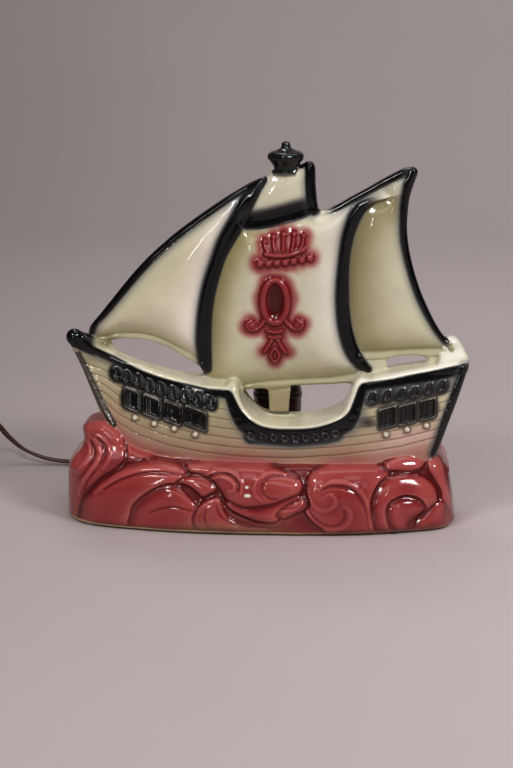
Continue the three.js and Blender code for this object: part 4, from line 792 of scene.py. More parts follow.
def add_ball(cx, cy, cz, radius, blend):
    m = radius + 4
    cells, x, y, z = block(cx - m, cx + m, cy - m, cy + m, cz - m, cz + m)
    unite(cells, np.sqrt((x - cx) ** 2 + (y - cy) ** 2 + (z - cz) ** 2) - radius, blend)


def add_turned(cx, cy, cz, profile, blend, reach, wave, lobes):
    """Unites a turned body whose radius,height profile is closed on its axis; wave lobes it."""
    top = cz + profile[-1][1] + 3
    cells, x, y, z = block(cx - reach, cx + reach, cy - reach, cy + reach, cz - 3, top)
    r = np.hypot(x - cx, y - cy) + 0 * z
    r = r * (1 + wave * np.cos(lobes * (np.arctan2(y - cy, x - cx) + 0 * z)))
    z = (z - cz) + 0 * r
    p = np.array(profile, float)
    p = np.vstack([p, [p[-1][0] - 60, p[-1][1]], [p[0][0] - 60, p[0][1]]])
    best = np.full(r.shape, 1e6, np.float32)
    inside = np.zeros(r.shape, bool)
    for a, b in zip(p, np.roll(p, -1, axis=0)):
        dr, dz = b[0] - a[0], b[1] - a[1]
        square = dr * dr + dz * dz
        if square < 1e-9:
            continue
        t = np.clip(((r - a[0]) * dr + (z - a[1]) * dz) / square, 0, 1)
        best = np.minimum(best, (r - a[0] - t * dr) ** 2 + (z - a[1] - t * dz) ** 2)
        if a[1] != b[1]:
            edge_r = (b[0] - a[0]) * (z - a[1]) / (b[1] - a[1]) + a[0]
            inside ^= ((a[1] > z) != (b[1] > z)) & (r < edge_r)
    d = np.where(inside, -np.sqrt(best), np.sqrt(best)).astype(np.float32)
    unite(cells, d, blend)


# Sails with their openings.
sails_map = outline_map(SAILS, 2)
for hole in (HOLE_JIB, HOLE_MIZZEN, HOLE_WAIST_LEFT, HOLE_WAIST_RIGHT):
    sails_map = -smooth_min(-sails_map, outline_map(hole, 3), 1.2)
add_slab("sails", sails_map, coarse(sail_front), sail_back, radius=2.6, blend=0.6,
         box=(-126, 143, -30, 8, 60, 262))

# Hull, a little fuller round the waist and below the jib, and cut away behind the jib's opening.
hull_map = polygon_map(np.vstack([
    curve(RAIL, 2), curve(STERN, 2), [(112, 44), (0, 40), (-95, 44)], curve(STEM, 2),
]))
hull_map -= 3.5 * ease(-25, -17, X_LOW) * ease(80, 71, X_LOW) * ease(60, 68, Z_LOW)
hull_map -= 2.0 * ease(-96, -84, X_LOW) * ease(-46, -58, X_LOW) * ease(88, 96, Z_LOW)
hull_rear = hull_back(X_LOW).astype(np.float32)
add_slab("hull", hull_map, coarse(hull_face), hull_rear, radius=3.4, blend=2.2,
         box=(-140, 152, -42, 15, 38, 128))
cut_slab(outline_map(HOLE_JIB, 3), level(-3.0), level(30.0), blend=1.5,
         box=(-110, -38, -8, 20, 98, 132))

# Stern lump, bowsprit root and the ball at the bow.
BOW_BALL = BOW_X, BOW_Y, BOW_Z = -132.4, -7.0, 131.8
lump_front = (-4.5 - 15 * ease(127, 113, Z_LOW) - 0.5 * coarse(wobble)).astype(np.float32)
add_slab("lump", outline_map(LUMP, 3), lump_front, level(9.0), radius=4.0, blend=2.6,
         box=(118, 152, -26, 13, 106, 140))
add_slab("sprit", outline_map(SPRIT, 3), level(-10.5), level(1.0), radius=4.4, blend=2.6,
         box=(-142, -100, -16, 5, 108, 140))
add_ball(*BOW_BALL, radius=6.1, blend=1.4)

# Wave bank, with the crest at the bow and the swell at the stern.
BANK_BACK = 52.0
plan_map = outline_map(FOOTPRINT, 2, grid=PLAN)
plan_map -= 1.6
bank_map = outline_map([(x, z - (9 if z < 3 else 0)) for x, z in WAVES], 2)
bank_map -= 2.6 * ease(47, 40, Z_LOW)
bank_front = coarse(wave_face)
parts["bank"] = (bank_map, bank_front, level(BANK_BACK), 3.0)
low_cells, _, y, _ = block(-200, 200, -200, 200, 0, 64)
bank_sides = -smooth_min(-upright(bank_map, low_cells), -plan_map[:, :, None], 4.0)
unite(low_cells,
      rounded(bank_sides, between(bank_front, level(BANK_BACK), low_cells, y), 3.0), 2.0)
add_slab("crest", outline_map(CREST, 3), np.maximum(bank_front, -40), level(13.0),
         radius=5.0, blend=2.4, box=(-134, -64, -46, 16, 34, 80))
add_slab("swell", outline_map(SWELL, 3), np.maximum(bank_front, -42), level(11.0),
         radius=4.5, blend=2.4, box=(80, 138, -46, 14, 34, 64))

# Crow's nest with its finial.
NEST_X, NEST_Y, NEST_Z = 18.4, -0.5, 248.0
NEST = points("""
0,-2 7.4,-2 7.6,0.2 8.8,1.6 9,3.2 8.2,5.2 9.2,7.8 11.2,10.4 12.9,12.2 13.3,14 12.8,15.6 11,16.9
8.2,17.7 5.6,18.7 3.8,19.8 3.2,20.7 3.3,21.9 2.9,23.1 1.8,24 0,24.3""")
add_turned(NEST_X, NEST_Y, NEST_Z, NEST, blend=1.6, reach=18, wave=0.03, lobes=6)

# Balls under the gun ports, and webs where the mast meets the deck.
for x, z in BALLS:
    add_ball(x, float(hull_front(np.array(x), np.array(z))) - 0.6, z, radius=2.0, blend=0.8)
for x in (6.2, 22.8):
    add_ball(x, -1.5, 72.3, radius=3.4, blend=3.0)

# Hollows of the hull and the base, the tube's hole and the cord's hole.
BASE_WALL, BASE_FRONT_WALL, BASE_HOLLOW_BACK = 5.8, 7.5, 46.5
hull_hollow = polygon_map([(x * 0.985, z - 1.5) for x, z in HULL_HOLLOW])
cut_slab(hull_hollow, (hull_front(X_LOW, Z_LOW) + 5.5).astype(np.float32), hull_rear - 5.5,
         blend=2.0, box=(-120, 138, -34, 8, 38, 112))
base_hollow = polygon_map(BASE_HOLLOW)
hollow_sides = np.maximum(upright(base_hollow, low_cells), plan_map[:, :, None] + BASE_WALL)
hollow_depth = between(wave_front(X_LOW, Z_LOW) + BASE_FRONT_WALL, level(BASE_HOLLOW_BACK),
                       low_cells, y)
carve(low_cells, np.maximum(hollow_sides, hollow_depth), 1.5)
cells, x, y, _ = block(0, 22, 22, 50, 34, 56)
field[cells] = np.maximum(field[cells], 5.4 - np.hypot(x - SOCKET_X, y - SOCKET_Y))
cells, x, _, z = block(-72, -52, 38, 58, 0, 22)
field[cells] = np.maximum(field[cells], 5.0 - np.hypot(x + 62, z - 11))
# Flat underneath, and closed at the grid's limits.
field = np.maximum(field, 1.5 - grid_z[None, None, :])
for face in (field[0], field[-1], field[:, 0], field[:, -1], field[:, :, 0], field[:, :, -1]):
    face[:] = 5


def surface_nets(field, axes):
    """Points and quads of the zero surface of a field sampled on a grid."""
    inside = field < 0
    count = inside[:-1].astype(np.uint8)
    count += inside[1:]
    count = count[:, :-1] + count[:, 1:]
    count = count[:, :, :-1] + count[:, :, 1:]
    cells = np.flatnonzero((count > 0) & (count < 8))
    place = np.unravel_index(cells, count.shape)
    ids = np.full(count.shape, -1, np.int32)
    ids.ravel()[cells] = np.arange(len(cells), dtype=np.int32)
    corner = {
        shift: field[tuple(place[q] + shift[q] for q in range(3))]
        for shift in product((0, 1), repeat=3)
    }
    total = np.zeros((len(cells), 3), np.float64)
    crossings = np.zeros(len(cells), np.float64)
    for axis in range(3):
        for pair in product((0, 1), repeat=2):
            start, end = (pair[:axis] + (tip,) + pair[axis:] for tip in (0, 1))
            v0, v1 = corner[start], corner[end]
            crossed = (v0 < 0) != (v1 < 0)
            t = np.where(crossed, v0 / np.where(crossed, v0 - v1, 1), 0)
            for q in range(3):
                total[:, q] += np.where(crossed, start[q] + (t if q == axis else 0), 0)
            crossings += crossed
    total /= crossings[:, None]
    verts = np.empty_like(total)
    for q, axis in enumerate(axes):
        verts[:, q] = axis[place[q]] + total[:, q] * (axis[1] - axis[0])
    quads = []
    for axis in range(3):
        others = [q for q in range(3) if q != axis]
        inner = tuple(slice(None) if q == axis else slice(1, -1) for q in range(3))
        edges = np.argwhere(np.diff(inside, axis=axis)[inner])
        edges[:, others] += 1
        du, dw = np.eye(3, dtype=int)[others]
        corners = (edges - du - dw, edges - dw, edges, edges - du)
        quad = np.stack([ids[tuple(c.T)] for c in corners], 1)
        reverse = inside[tuple(edges.T)] == (axis == 1)
        quad[reverse] = quad[reverse][:, ::-1]
        quads.append(quad)
    quads = np.vstack(quads)
    return verts, quads[(quads >= 0).all(1)]


verts, quads = surface_nets(field, (grid_x, grid_y, grid_z))
del field


# ---------------------------------------------------------------- glaze colours
def rgb(colour):
    return np.array(colour, np.float32) / 255.0


def coat_of(colour):
    paint_map = np.empty(X.shape + (3,), np.float32)
    paint_map[:] = rgb(colour)
    return paint_map


def lay(paint_map, colour, weight):
    """Lays a colour (0 to 255) over a map in place."""
    weight = np.clip(weight, 0, 1)[..., None]
    paint_map *= 1 - weight
    paint_map += rgb(colour) * weight


def ellipse(x, z, stretch):
    return np.hypot((X - x) / stretch, Z - z)


SLATE = (92, 96, 100)
BLACK = (9, 9, 12)
BARE_FOOT = (206, 188, 150)

# ---- sails: warm creams, with painted shade and painted highlight along the bands
sail_paint = coat_of((208, 202, 178))
in_jib, in_main, in_mizzen = (
    ease(-1.5, 1.5, refine(depth)) for depth in (jib_depth, main_depth, mizzen_depth)
)
lay(sail_paint, (202, 192, 160), 0.5 * in_jib)
# Painted light on the lower jib toward the main sail.
lay(sail_paint, (236, 228, 206), 0.6 * in_jib * ease(190, 150, Z) * ease(-92, -60, X))


def band_sides(name):
    """Distance outside a band's edge, whether on its positive side, the run, and where known."""
    d, half_width, side, run = band_maps[name]
    return d - half_width, side > 0, run, half_width > 0


# Painted shade on the sail that falls back behind a band, painted highlight on the sail that turns up
# to it.
# Band, sail, whether the band's stern side, colour, weight, reach.
for name, sail, sternward, colour, weight, reach in (
    ("jib_band", in_main, True, (148, 136, 90), 0.8, 13.0),
    ("jib_band", in_jib, False, (240, 230, 222), 0.8, 12.0),
    ("mizzen_band", in_main, False, (228, 220, 208), 0.75, 16.0),
    ("mizzen_band", in_mizzen, True, (138, 126, 92), 0.85, 21.0),
):
    edge, positive, _, known = band_sides(name)
    painted_light_and_shade = weight * sail * (positive == sternward) * bell(np.maximum(edge, 0), reach)
    lay(sail_paint, colour, painted_light_and_shade * known)
lay(sail_paint, (196, 190, 158), 0.5 * in_main * ease(150, 108, Z))
lay(sail_paint, (190, 182, 146), 0.35 * in_mizzen * ease(170, 130, Z))
# Olive lines above the rolled lips, and painted shade at the jib's foremost corner by its opening.
for rows, weight in ((JIB_LIP, 0.55), (MAIN_LIP, 0.6), (MIZZEN_LIP, 0.75)):
    d = distance(rows, 9)
    lay(sail_paint, (104, 100, 68), weight * bell(d, 0.95))
    lay(sail_paint, (150, 142, 104), 0.4 * bell(d, 3.2))
lay(sail_paint, (96, 90, 52), 0.7 * bell(ellipse(-108, 129.5, 1.7), 4.6))


def black_band(name, soft_in, soft_out, spray, inner_positive=False, fade_in=0.0, fade_out=0.0):
    """Black along a band with slate spray; softness inward and outward, fades as parts of the run."""
    edge, positive, run, known = band_sides(name)
    inner = positive == inner_positive
    soft = np.where(inner, soft_in, soft_out)
    strength = np.ones_like(edge)
    if fade_in:
        strength *= ease(0.0, fade_in, run)
    if fade_out:
        strength *= ease(1.0, 1.0 - fade_out, run)
    outside = np.maximum(edge, 0)
    mist = np.where(inner, bell(outside, 3.4), bell(outside, 1.2))
    lay(sail_paint, SLATE, known * strength * spray * mist)
    lay(sail_paint, BLACK, known * strength * ease(1.0, -0.45, edge / soft))


black_band("jib_band", soft_in=2.6, soft_out=0.7, spray=0.6)
black_band("mizzen_band", soft_in=2.4, soft_out=0.8, spray=0.6, fade_in=0.16)
black_band("jib_rim", soft_in=1.9, soft_out=3.0, spray=0.55)
black_band("mizzen_top", soft_in=1.5, soft_out=3.0, spray=0.4, fade_in=0.2)
black_band("mizzen_rim", soft_in=2.2, soft_out=3.0, spray=0.6, fade_out=0.07)
black_band("topsail_foot", soft_in=6.0, soft_out=0.7, spray=0.7, inner_positive=True)
black_band("topsail_rim", soft_in=1.4, soft_out=3.0, spray=0.5)

# The mast below the main sail, and the sail's foot.
post = ease(4.5, 7.5, X) * ease(24.0, 20.5, X) * ease(96.5, 93.0, Z)
lay(sail_paint, (142, 128, 92), 0.66 * post)
lay(sail_paint, (168, 140, 116), 0.5 * post * bell(X - 14.5, 3.2))
lay(sail_paint, (62, 66, 60), 0.8 * post * bell(Z - 77.4, 1.1))
main_foot = ease(-22, -12, X) * ease(74, 60, X)
lay(sail_paint, (134, 122, 84), 0.5 * main_foot * bell(Z - (96.6 + 0.045 * (X - 2)), 2.0))
# The ornament's airbrushed red, with pale raised edges.
halo = ease(8.6, 0.8, ornament_gap + 1.3 * value_noise(8, 5)) ** 1.2
ornament_turn = ornament_relief - blur(ornament_relief, 0.8)
lay(sail_paint, (142, 54, 54), 0.9 * halo)
lay(sail_paint, (112, 22, 28), 0.9 * ease(2.0, -0.2, ornament_gap))
lay(sail_paint, (70, 8, 12), 0.9 * ease(0.6, -1.6, oval_inside))
pale = np.clip(ornament_turn, 0, 0.5) * ease(1.5, 0.0, ornament_gap)
lay(sail_paint, (190, 100, 96), pale)
deep = np.clip(-ornament_turn * 1.3, 0, 0.7) * ease(2.5, 0.2, ornament_gap)
lay(sail_paint, (96, 12, 22), deep)

# Back of the sails: cream, black round the edge.
back_paint = coat_of((206, 198, 164))
sail_edge = np.minimum.reduce([
    np.where(band_maps[name][1] > 0, band_maps[name][0], 40)
    for name in ("jib_rim", "mizzen_top", "mizzen_rim", "topsail_rim")
])
lay(back_paint, SLATE, 0.6 * ease(6.0, 1.5, sail_edge))
lay(back_paint, BLACK, ease(4.0, 1.6, sail_edge))

# ---- hull: tan that turns rose toward the waves, with painted light making it paler at the stern
above = Z - height_at(HULL_LOW, fine_x)[:, None]
hull_paint = coat_of((178, 170, 138))
lay(hull_paint, (172, 152, 124), 0.9 * ease(44, 20, above))
lay(hull_paint, (176, 134, 116), 0.75 * ease(20, 4, above))
lay(hull_paint, (164, 88, 86), 0.66 * ease(7, 0, above) * (1 - 0.55 * ease(60, 105, X)))
# Painted light: paler and lighter rose toward the stern, where the light falls.
lay(hull_paint, (220, 206, 182), 0.62 * ease(60, 100, X) * ease(12, 30, above))
lay(hull_paint, (226, 190, 178), 0.8 * ease(60, 110, X) * bell(above - 11, 9.0))
lay(hull_paint, (120, 92, 74), 0.55 * plank)
lay(hull_paint, (150, 100, 90), 0.35 * plank * ease(30, 10, above))
# Soot round the rows: weight, outer and inner limit, row, noise amount, size and seed.
soot = 0.8 * bell(ellipse(78, 79, 2.0), 3.6)
for weight, outer, inner, rows, amount, size, seed in (
    (0.93, 8.0, 4.2, PORTS_BOW, 0.8, 5, 8),
    (0.86, 10.5, 5.0, GUNS_BOW, 1.2, 6, 9),
    (0.70, 8.0, 3.8, PORTS_STERN, 0.8, 5, 8),
    (0.56, 11.0, 5.8, GUNS_STERN, 1.2, 6, 9),
):
    ragged = distance(rows, 16, steps=3) + amount * value_noise(size, seed)
    soot = np.maximum(soot, weight * ease(outer, inner, ragged))
lay(hull_paint, (30, 29, 29), soot * (above_rail < 0))
lay(hull_paint, BLACK, 0.94 * port_black)
rings_distance = distance(RINGS, 16, steps=3)
lay(hull_paint, SLATE, 0.7 * ease(8.0, 5.0, rings_distance))
lay(hull_paint, BLACK, 0.93 * ease(6.0, 4.4, rings_distance))
worn = np.clip(0.72 + 0.36 * value_noise(3.2, 17), 0.2, 0.95)
# Pale edges of the openings, with painted highlight on the portholes' upper sides.
lay(hull_paint, (186, 184, 168), worn * port_edges_and_highlight)
# Black band below the rail, wider in the waist and at the stern, and the cream rail.
waist = ease(-26, -10, X) * ease(80, 66, X)
band_width = 4.4 + 5.6 * waist + 2.0 * ease(80, 130, X)
mist = ease(-band_width - 7.0 - 5.0 * ease(60, 80, X), -band_width, above_rail)
lay(hull_paint, SLATE, (0.62 + 0.1 * ease(60, 90, X)) * mist * (above_rail < 1))
band = 0.96 * ease(-band_width - 2.2, -band_width + 0.8, above_rail)
lay(hull_paint, BLACK, band * ease(0.9, -0.7, above_rail))
cream = ease(-0.6, 0.8, above_rail)
lay(hull_paint, (222, 216, 194), cream)
# Painted light: the cream rail brighter toward the stern.
lay(hull_paint, (252, 248, 236), 0.9 * cream * ease(55, 90, X))
# Painted shade: olive on the upper rail toward the bow.
rail_painted_shade = 0.30 * cream * ease(0.5, 3.0, above_rail) * ease(6, 3, above_rail)
lay(hull_paint, (150, 144, 108), rail_painted_shade * ease(60, 20, X))
# Painted shade at the end of the jib's opening.
lay(hull_paint, (84, 78, 44), 0.75 * bell(ellipse(-109.5, 128.6, 1.8), 4.2))
# Strips of stem and stern.
on_stem = ease(0.0, 0.03, stem_run)
lay(hull_paint, (70, 62, 54), 0.9 * ease(2.3, 1.4, stem_distance) * on_stem)
lay(hull_paint, BLACK, 0.8 * bell(stem_distance - 2.0, 0.7) * on_stem)
lay(hull_paint, SLATE, 0.6 * ease(7.0, 3.5, stern_distance))
stern_black = ease(4.4, 3.0, stern_distance + 1.2 * ease(90, 60, Z))
lay(hull_paint, BLACK, 0.94 * stern_black * (above_rail < 0.5))
# Pale raised edges and dark hollows.
hull_turn = hull_relief - blur(hull_relief, 0.9)
raised = np.clip(hull_turn * 0.7, 0, 0.4) * (above_rail < -1)
lay(hull_paint, (214, 208, 190), raised * (1 - 0.92 * np.maximum(port_black, soot)))
lay(hull_paint, (70, 58, 46), np.clip(-hull_turn * 0.8, 0, 0.5) * (above_rail < -1))
for x, z in BALLS:
    d = np.hypot(X - x, Z - z)
    lay(hull_paint, (90, 74, 58), 0.6 * ease(4.2, 2.2, d))
    lay(hull_paint, (214, 206, 186), ease(2.3, 1.6, d))

# ---- waves: mottled maroon, pink on the raised parts and wine in the hollows, with painted sheen and shade on the swells
wave_paint = coat_of((144, 54, 53))
lay(wave_paint, (156, 58, 60), 0.5 * ease(-0.2, 0.9, value_noise(21, 3)))
lay(wave_paint, (104, 22, 30), 0.5 * ease(0.1, 0.9, value_noise(15, 4)))
# The first row paints a broad sheen on the swells and shade in the low parts; the finer rows give the
# glaze's pale breaks on ridges and its pooling in hollows.
# Turn of the relief, raised colour, gain and limit, hollow colour, gain and limit.
for turn, pink, gain, limit, wine, wine_gain, wine_limit in (
    (blur(wave_relief, 1.5) - blur(wave_relief, 7.0),
     (184, 100, 98), 0.22, 0.36, (92, 20, 26), 0.34, 0.55),
    (wave_relief - blur(wave_relief, 3.0),
     (186, 104, 100), 0.34, 0.5, (84, 16, 24), 0.42, 0.7),
    (wave_relief - blur(wave_relief, 1.1),
     (198, 108, 102), 0.62, 0.5, (84, 18, 24), 0.45, 0.6),
):
    lay(wave_paint, pink, np.clip(turn * gain, 0, limit))
    lay(wave_paint, wine, np.clip(-turn * wine_gain, 0, wine_limit))
lay(wave_paint, (70, 20, 24), 0.22 * bell(lobe_edge, 0.8))
# Painted highlight along the shoulder just inside each lobe's edge.
lobe_rim_highlight = 0.30 * bell(lobe_edge - 1.9, 0.9)
lay(wave_paint, (186, 132, 120), lobe_rim_highlight * (0.6 + 0.6 * value_noise(16, 12)))
# Worn glaze low in the middle, and the bare foot.
worn = 0.65 * ease(15, 3, Z + 2.5 * value_noise(12, 6))
lay(wave_paint, (140, 112, 84), worn * ease(-70, -40, X) * ease(40, 0, X))
lay(wave_paint, (120, 70, 62), 0.5 * ease(8, 2.5, Z))
foot_bare = 0.25 + 0.75 * ease(60, -30, X)
lay(wave_paint, BARE_FOOT, foot_bare * ease(3.6, 2.4, Z + 0.5 * value_noise(10, 7)))
# Chips: x, z, half width, half height.
for x, z, half_width, half_height in ((-5.3, 35.8, 1.2, 0.9), (-4.8, 30.2, 2.3, 1.25)):
    d = np.hypot((X - x) / half_width, (Z - z) / half_height)
    lay(wave_paint, (232, 230, 224), ease(1.25, 0.8, d))


# --------------------------------------------------------------- colours to points
def to_linear(colour):
    curved = ((np.clip(colour, 0, 1) + 0.055) / 1.055) ** 2.4
    return np.where(colour <= 0.04045, colour / 12.92, curved)


def blend_to(first, second, weight):
    return first * (1 - weight) + second * weight


def paint(verts):
    """Linear colour and dryness of the glaze at points in mm."""
    x, y, z = verts.T
    gap, surfaces = {}, {}
    for name, (outline, front, back, radius) in parts.items():
        outside = sample(outline, COARSE, x, z)
        front, back = sample(front, COARSE, x, z), sample(back, COARSE, x, z)
        gap[name] = rounded(outside, np.maximum(front - y, y - back), radius)
        surfaces[name] = (front, back)
    plan = sample(plan_map, PLAN, x, y)
    gap["bank"] = np.maximum(gap["bank"], plan)
    nearest = np.argmin(np.stack(list(gap.values())), 0)
    owned = {name: nearest == i for i, name in enumerate(gap)}
    rail = sample(above_rail, FINE, x, z)
    hull_colour = sample(hull_paint, FINE, x, z)

    def depth_in(name):
        front, back = surfaces[name]
        return (y - front) / np.maximum(back - front, 1)

    # Sails.
    facing = ease(0.62, 0.42, depth_in("sails"))[:, None]
    back_colour = sample(back_paint, FINE, x, z)
    col = blend_to(back_colour, sample(sail_paint, FINE, x, z), facing)
    # Crow's nest and finial.
    r = np.hypot(x - NEST_X, y - NEST_Y)
    nest = (z > 247.6) & (r < 15.5) & ((z > 254) | (r < 10)) & (x < 32.5 - 0.1 * (z < 258))
    col = blend_to(col, rgb((26, 26, 28)), (nest * ease(247.8, 250.6, z))[:, None])
    col = blend_to(col, rgb((150, 150, 140)), (nest * bell(z - 250.0, 1.1) * 0.5)[:, None])
    # Hull: its paint in front, cream on deck and back.
    part = owned["hull"]
    facing = ease(0.34, 0.2, depth_in("hull"))[:, None]
    col[part] = blend_to(rgb((210, 203, 176)), hull_colour, facing)[part]
    part = owned["lump"]
    col[part] = rgb((226, 222, 206))
    below = part & (rail < 0.2) & (y < -8)
    col[below] = hull_colour[below]
    part = owned["sprit"]
    weight = (ease(-115, -122, x) * ease(-7.5, -5.5, rail))[:, None]
    col[part] = blend_to(hull_colour, rgb(BLACK), weight)[part]
    ball = np.hypot(np.hypot(x - BOW_X, y - BOW_Y), z - BOW_Z) < 7.4
    col[ball] = rgb(BLACK)
    # Waves on the front and sides, a plainer red behind, a bare foot.
    part = owned["bank"] | owned["crest"] | owned["swell"]
    back_red = rgb((146, 48, 56)) + 0.05 * value_noise(14, 11, x, z + y)[:, None]
    facing = ease(16, 6, y - surfaces["bank"][0])[:, None]
    col[part] = blend_to(back_red, sample(wave_paint, FINE, x, z), facing)[part]
    foot = part & (z < 4.0)
    bare = ease(3.2, 2.2, z)
    weight = (bare * (0.3 + 0.7 * ease(60, -30, x)))[:, None]
    col[foot] = blend_to(col, rgb(BARE_FOOT), weight)[foot]
    dry = np.where(foot, bare, np.zeros(len(verts)))
    # Bare bisque inside the hollows.
    hollow = np.maximum.reduce([
        sample(base_hollow, COARSE, x, z), plan + BASE_WALL,
        wave_front(x, z) + BASE_FRONT_WALL - y, y - BASE_HOLLOW_BACK,
    ])
    inside = (np.abs(hollow) < 1.6) & (z < 43.6) & (gap["bank"] < -4.4)
    in_hull = (z < 100) & (z > 38) & (sample(hull_hollow, COARSE, x, z) < 1.2)
    inside |= in_hull & (y > hull_front(x, z) + 4.4) & (y < hull_back(x) - 4.2)
    col[inside] = rgb((206, 190, 158))
    dry[inside] = 1.0
    return to_linear(col).astype(np.float32), dry.astype(np.float32)


# --------------------------------------------------------------------- materials
# Inputs A and B and the output of a Mix node of each data type.
MIX_SOCKETS = {"FLOAT": (2, 3, 0), "VECTOR": (4, 5, 1), "RGBA": (6, 7, 2)}


def new_material(name):
    mat = bpy.data.materials.new(name)
    mat.use_nodes = True
    tree = mat.node_tree
    tree.nodes.clear()
    out = tree.nodes.new("ShaderNodeOutputMaterial")
    bsdf = tree.nodes.new("ShaderNodeBsdfPrincipled")
    tree.links.new(bsdf.outputs[0], out.inputs[0])
    return mat, tree, bsdf


def feed(tree, socket, value):
    """Links a socket to another, or sets its value."""
    if isinstance(value, bpy.types.NodeSocket):
        tree.links.new(value, socket)
    else:
        socket.default_value = value


def linear(colour):
    return (*to_linear(np.array(colour)).tolist(), 1.0)


def noise(tree, coords, scale, detail):
    node = tree.nodes.new("ShaderNodeTexNoise")
    node.inputs["Scale"].default_value = scale
    node.inputs["Detail"].default_value = detail
    tree.links.new(coords, node.inputs["Vector"])
    return node


def ramp(tree, source, to_min, to_max, from_min=0.35, from_max=0.65):
    node = tree.nodes.new("ShaderNodeMapRange")
    node.inputs["From Min"].default_value = from_min
    node.inputs["From Max"].default_value = from_max
    node.inputs["To Min"].default_value = to_min
    node.inputs["To Max"].default_value = to_max
    tree.links.new(source, node.inputs["Value"])
    return node.outputs["Result"]


def mix(tree, kind, factor, first, second, blend="MIX"):
    node = tree.nodes.new("ShaderNodeMix")
    node.data_type = kind
    node.blend_type = blend
    in_a, in_b, out = MIX_SOCKETS[kind]
    feed(tree, node.inputs[0], factor)
    feed(tree, node.inputs[in_a], first)
    feed(tree, node.inputs[in_b], second)
    return node.outputs[out]


def arithmetic(tree, operation, *values):
    node = tree.nodes.new("ShaderNodeMath")
    node.operation = operation
    for socket, value in zip(node.inputs, values):
        feed(tree, socket, value)
    return node.outputs[0]


def grey(tree, value):
    node = tree.nodes.new("ShaderNodeCombineColor")
    for i in range(3):
        tree.links.new(value, node.inputs[i])
    return node.outputs[0]


def bump(tree, bsdf, height, strength, reach):
    node = tree.nodes.new("ShaderNodeBump")
    node.inputs["Strength"].default_value = strength
    node.inputs["Distance"].default_value = reach
    tree.links.new(height, node.inputs["Height"])
    tree.links.new(node.outputs[0], bsdf.inputs["Normal"])


def plain(name, colour, second, rough, metal=0.0, scale=180.0, bumps=0.0, coat=0.0,
          rough_var=0.06, transmission=0.0, ior=1.5):
    """A finish whose colour, roughness and surface vary with noise of the given scale."""
    mat, tree, bsdf = new_material(name)
    coords = tree.nodes.new("ShaderNodeTexCoord").outputs["Object"]
    mottle = noise(tree, coords, scale, 4).outputs["Fac"]
    amount = ramp(tree, mottle, 0, 1, 0.3, 0.7)
    base = mix(tree, "RGBA", amount, linear(colour), linear(second))
    roughness = ramp(tree, mottle, max(rough - rough_var, 0.02), min(rough + rough_var, 1.0))
    for socket, value in {
        "Base Color": base, "Roughness": roughness, "Metallic": metal, "Coat Weight": coat,
        "Coat Roughness": 0.06, "Transmission Weight": transmission, "IOR": ior,
    }.items():
        feed(tree, bsdf.inputs[socket], value)
    if bumps:
        grain = noise(tree, coords, scale * 4.3, 2).outputs["Fac"]
        bump(tree, bsdf, grain, strength=bumps, reach=0.0003)
    return mat


SLOT_MATERIALS = {
    "felt": plain("felt_mat", (0.20, 0.26, 0.21), (0.28, 0.34, 0.28), rough=0.95, scale=900,
                  bumps=0.9),
    "zinc_steel": plain("zinc_mat", (0.62, 0.63, 0.62), (0.50, 0.51, 0.52), rough=0.38,
                        metal=1.0, scale=300, bumps=0.1),
    "brass": plain("brass_mat", (0.72, 0.58, 0.32), (0.62, 0.48, 0.26), rough=0.3, metal=1.0,
                   scale=260, bumps=0.08),
    "bakelite": plain("bakelite_mat", (0.105, 0.066, 0.052), (0.150, 0.088, 0.062), rough=0.24,
                      scale=70, bumps=0.05, coat=0.35),
    "phenolic": plain("phenolic_mat", (0.26, 0.17, 0.11), (0.20, 0.13, 0.09), rough=0.5,
                      scale=220, bumps=0.15),
    "nickel": plain("nickel_mat", (0.74, 0.73, 0.70), (0.64, 0.63, 0.60), rough=0.28, metal=1.0,
                    scale=300, bumps=0.06),
    "tungsten": plain("tungsten_mat", (0.34, 0.34, 0.36), (0.26, 0.26, 0.28), rough=0.45,
                      metal=1.0, scale=800, bumps=0.2),
    "frosted_glass": plain("frosted_glass_mat", (0.93, 0.92, 0.89), (0.90, 0.89, 0.86),
                           rough=0.34, scale=40, bumps=0.04, transmission=0.55, ior=1.3,
                           rough_var=0.03),
    "clear_glass": plain("clear_glass_mat", (0.95, 0.96, 0.95), (0.92, 0.94, 0.93), rough=0.05,
                         scale=60, transmission=0.95, rough_var=0.02),
    "black_glass": plain("black_glass_mat", (0.04, 0.035, 0.045), (0.07, 0.05, 0.06),
                         rough=0.12, scale=120, rough_var=0.04),
    "cord_vinyl": plain("cord_vinyl_mat", (0.30, 0.155, 0.11), (0.24, 0.12, 0.085), rough=0.42,
                        scale=140, bumps=0.18, coat=0.15),
    "copper": plain("copper_mat", (0.72, 0.42, 0.28), (0.62, 0.34, 0.22), rough=0.35, metal=1.0,
                    scale=500, bumps=0.3),
    "rubber": plain("rubber_mat", (0.07, 0.068, 0.066), (0.10, 0.097, 0.094), rough=0.75,
                    scale=240, bumps=0.25),
    "fibre_board": plain("fibre_board_mat", (0.30, 0.25, 0.20), (0.24, 0.20, 0.16), rough=0.85,
                         scale=420, bumps=0.5),
}


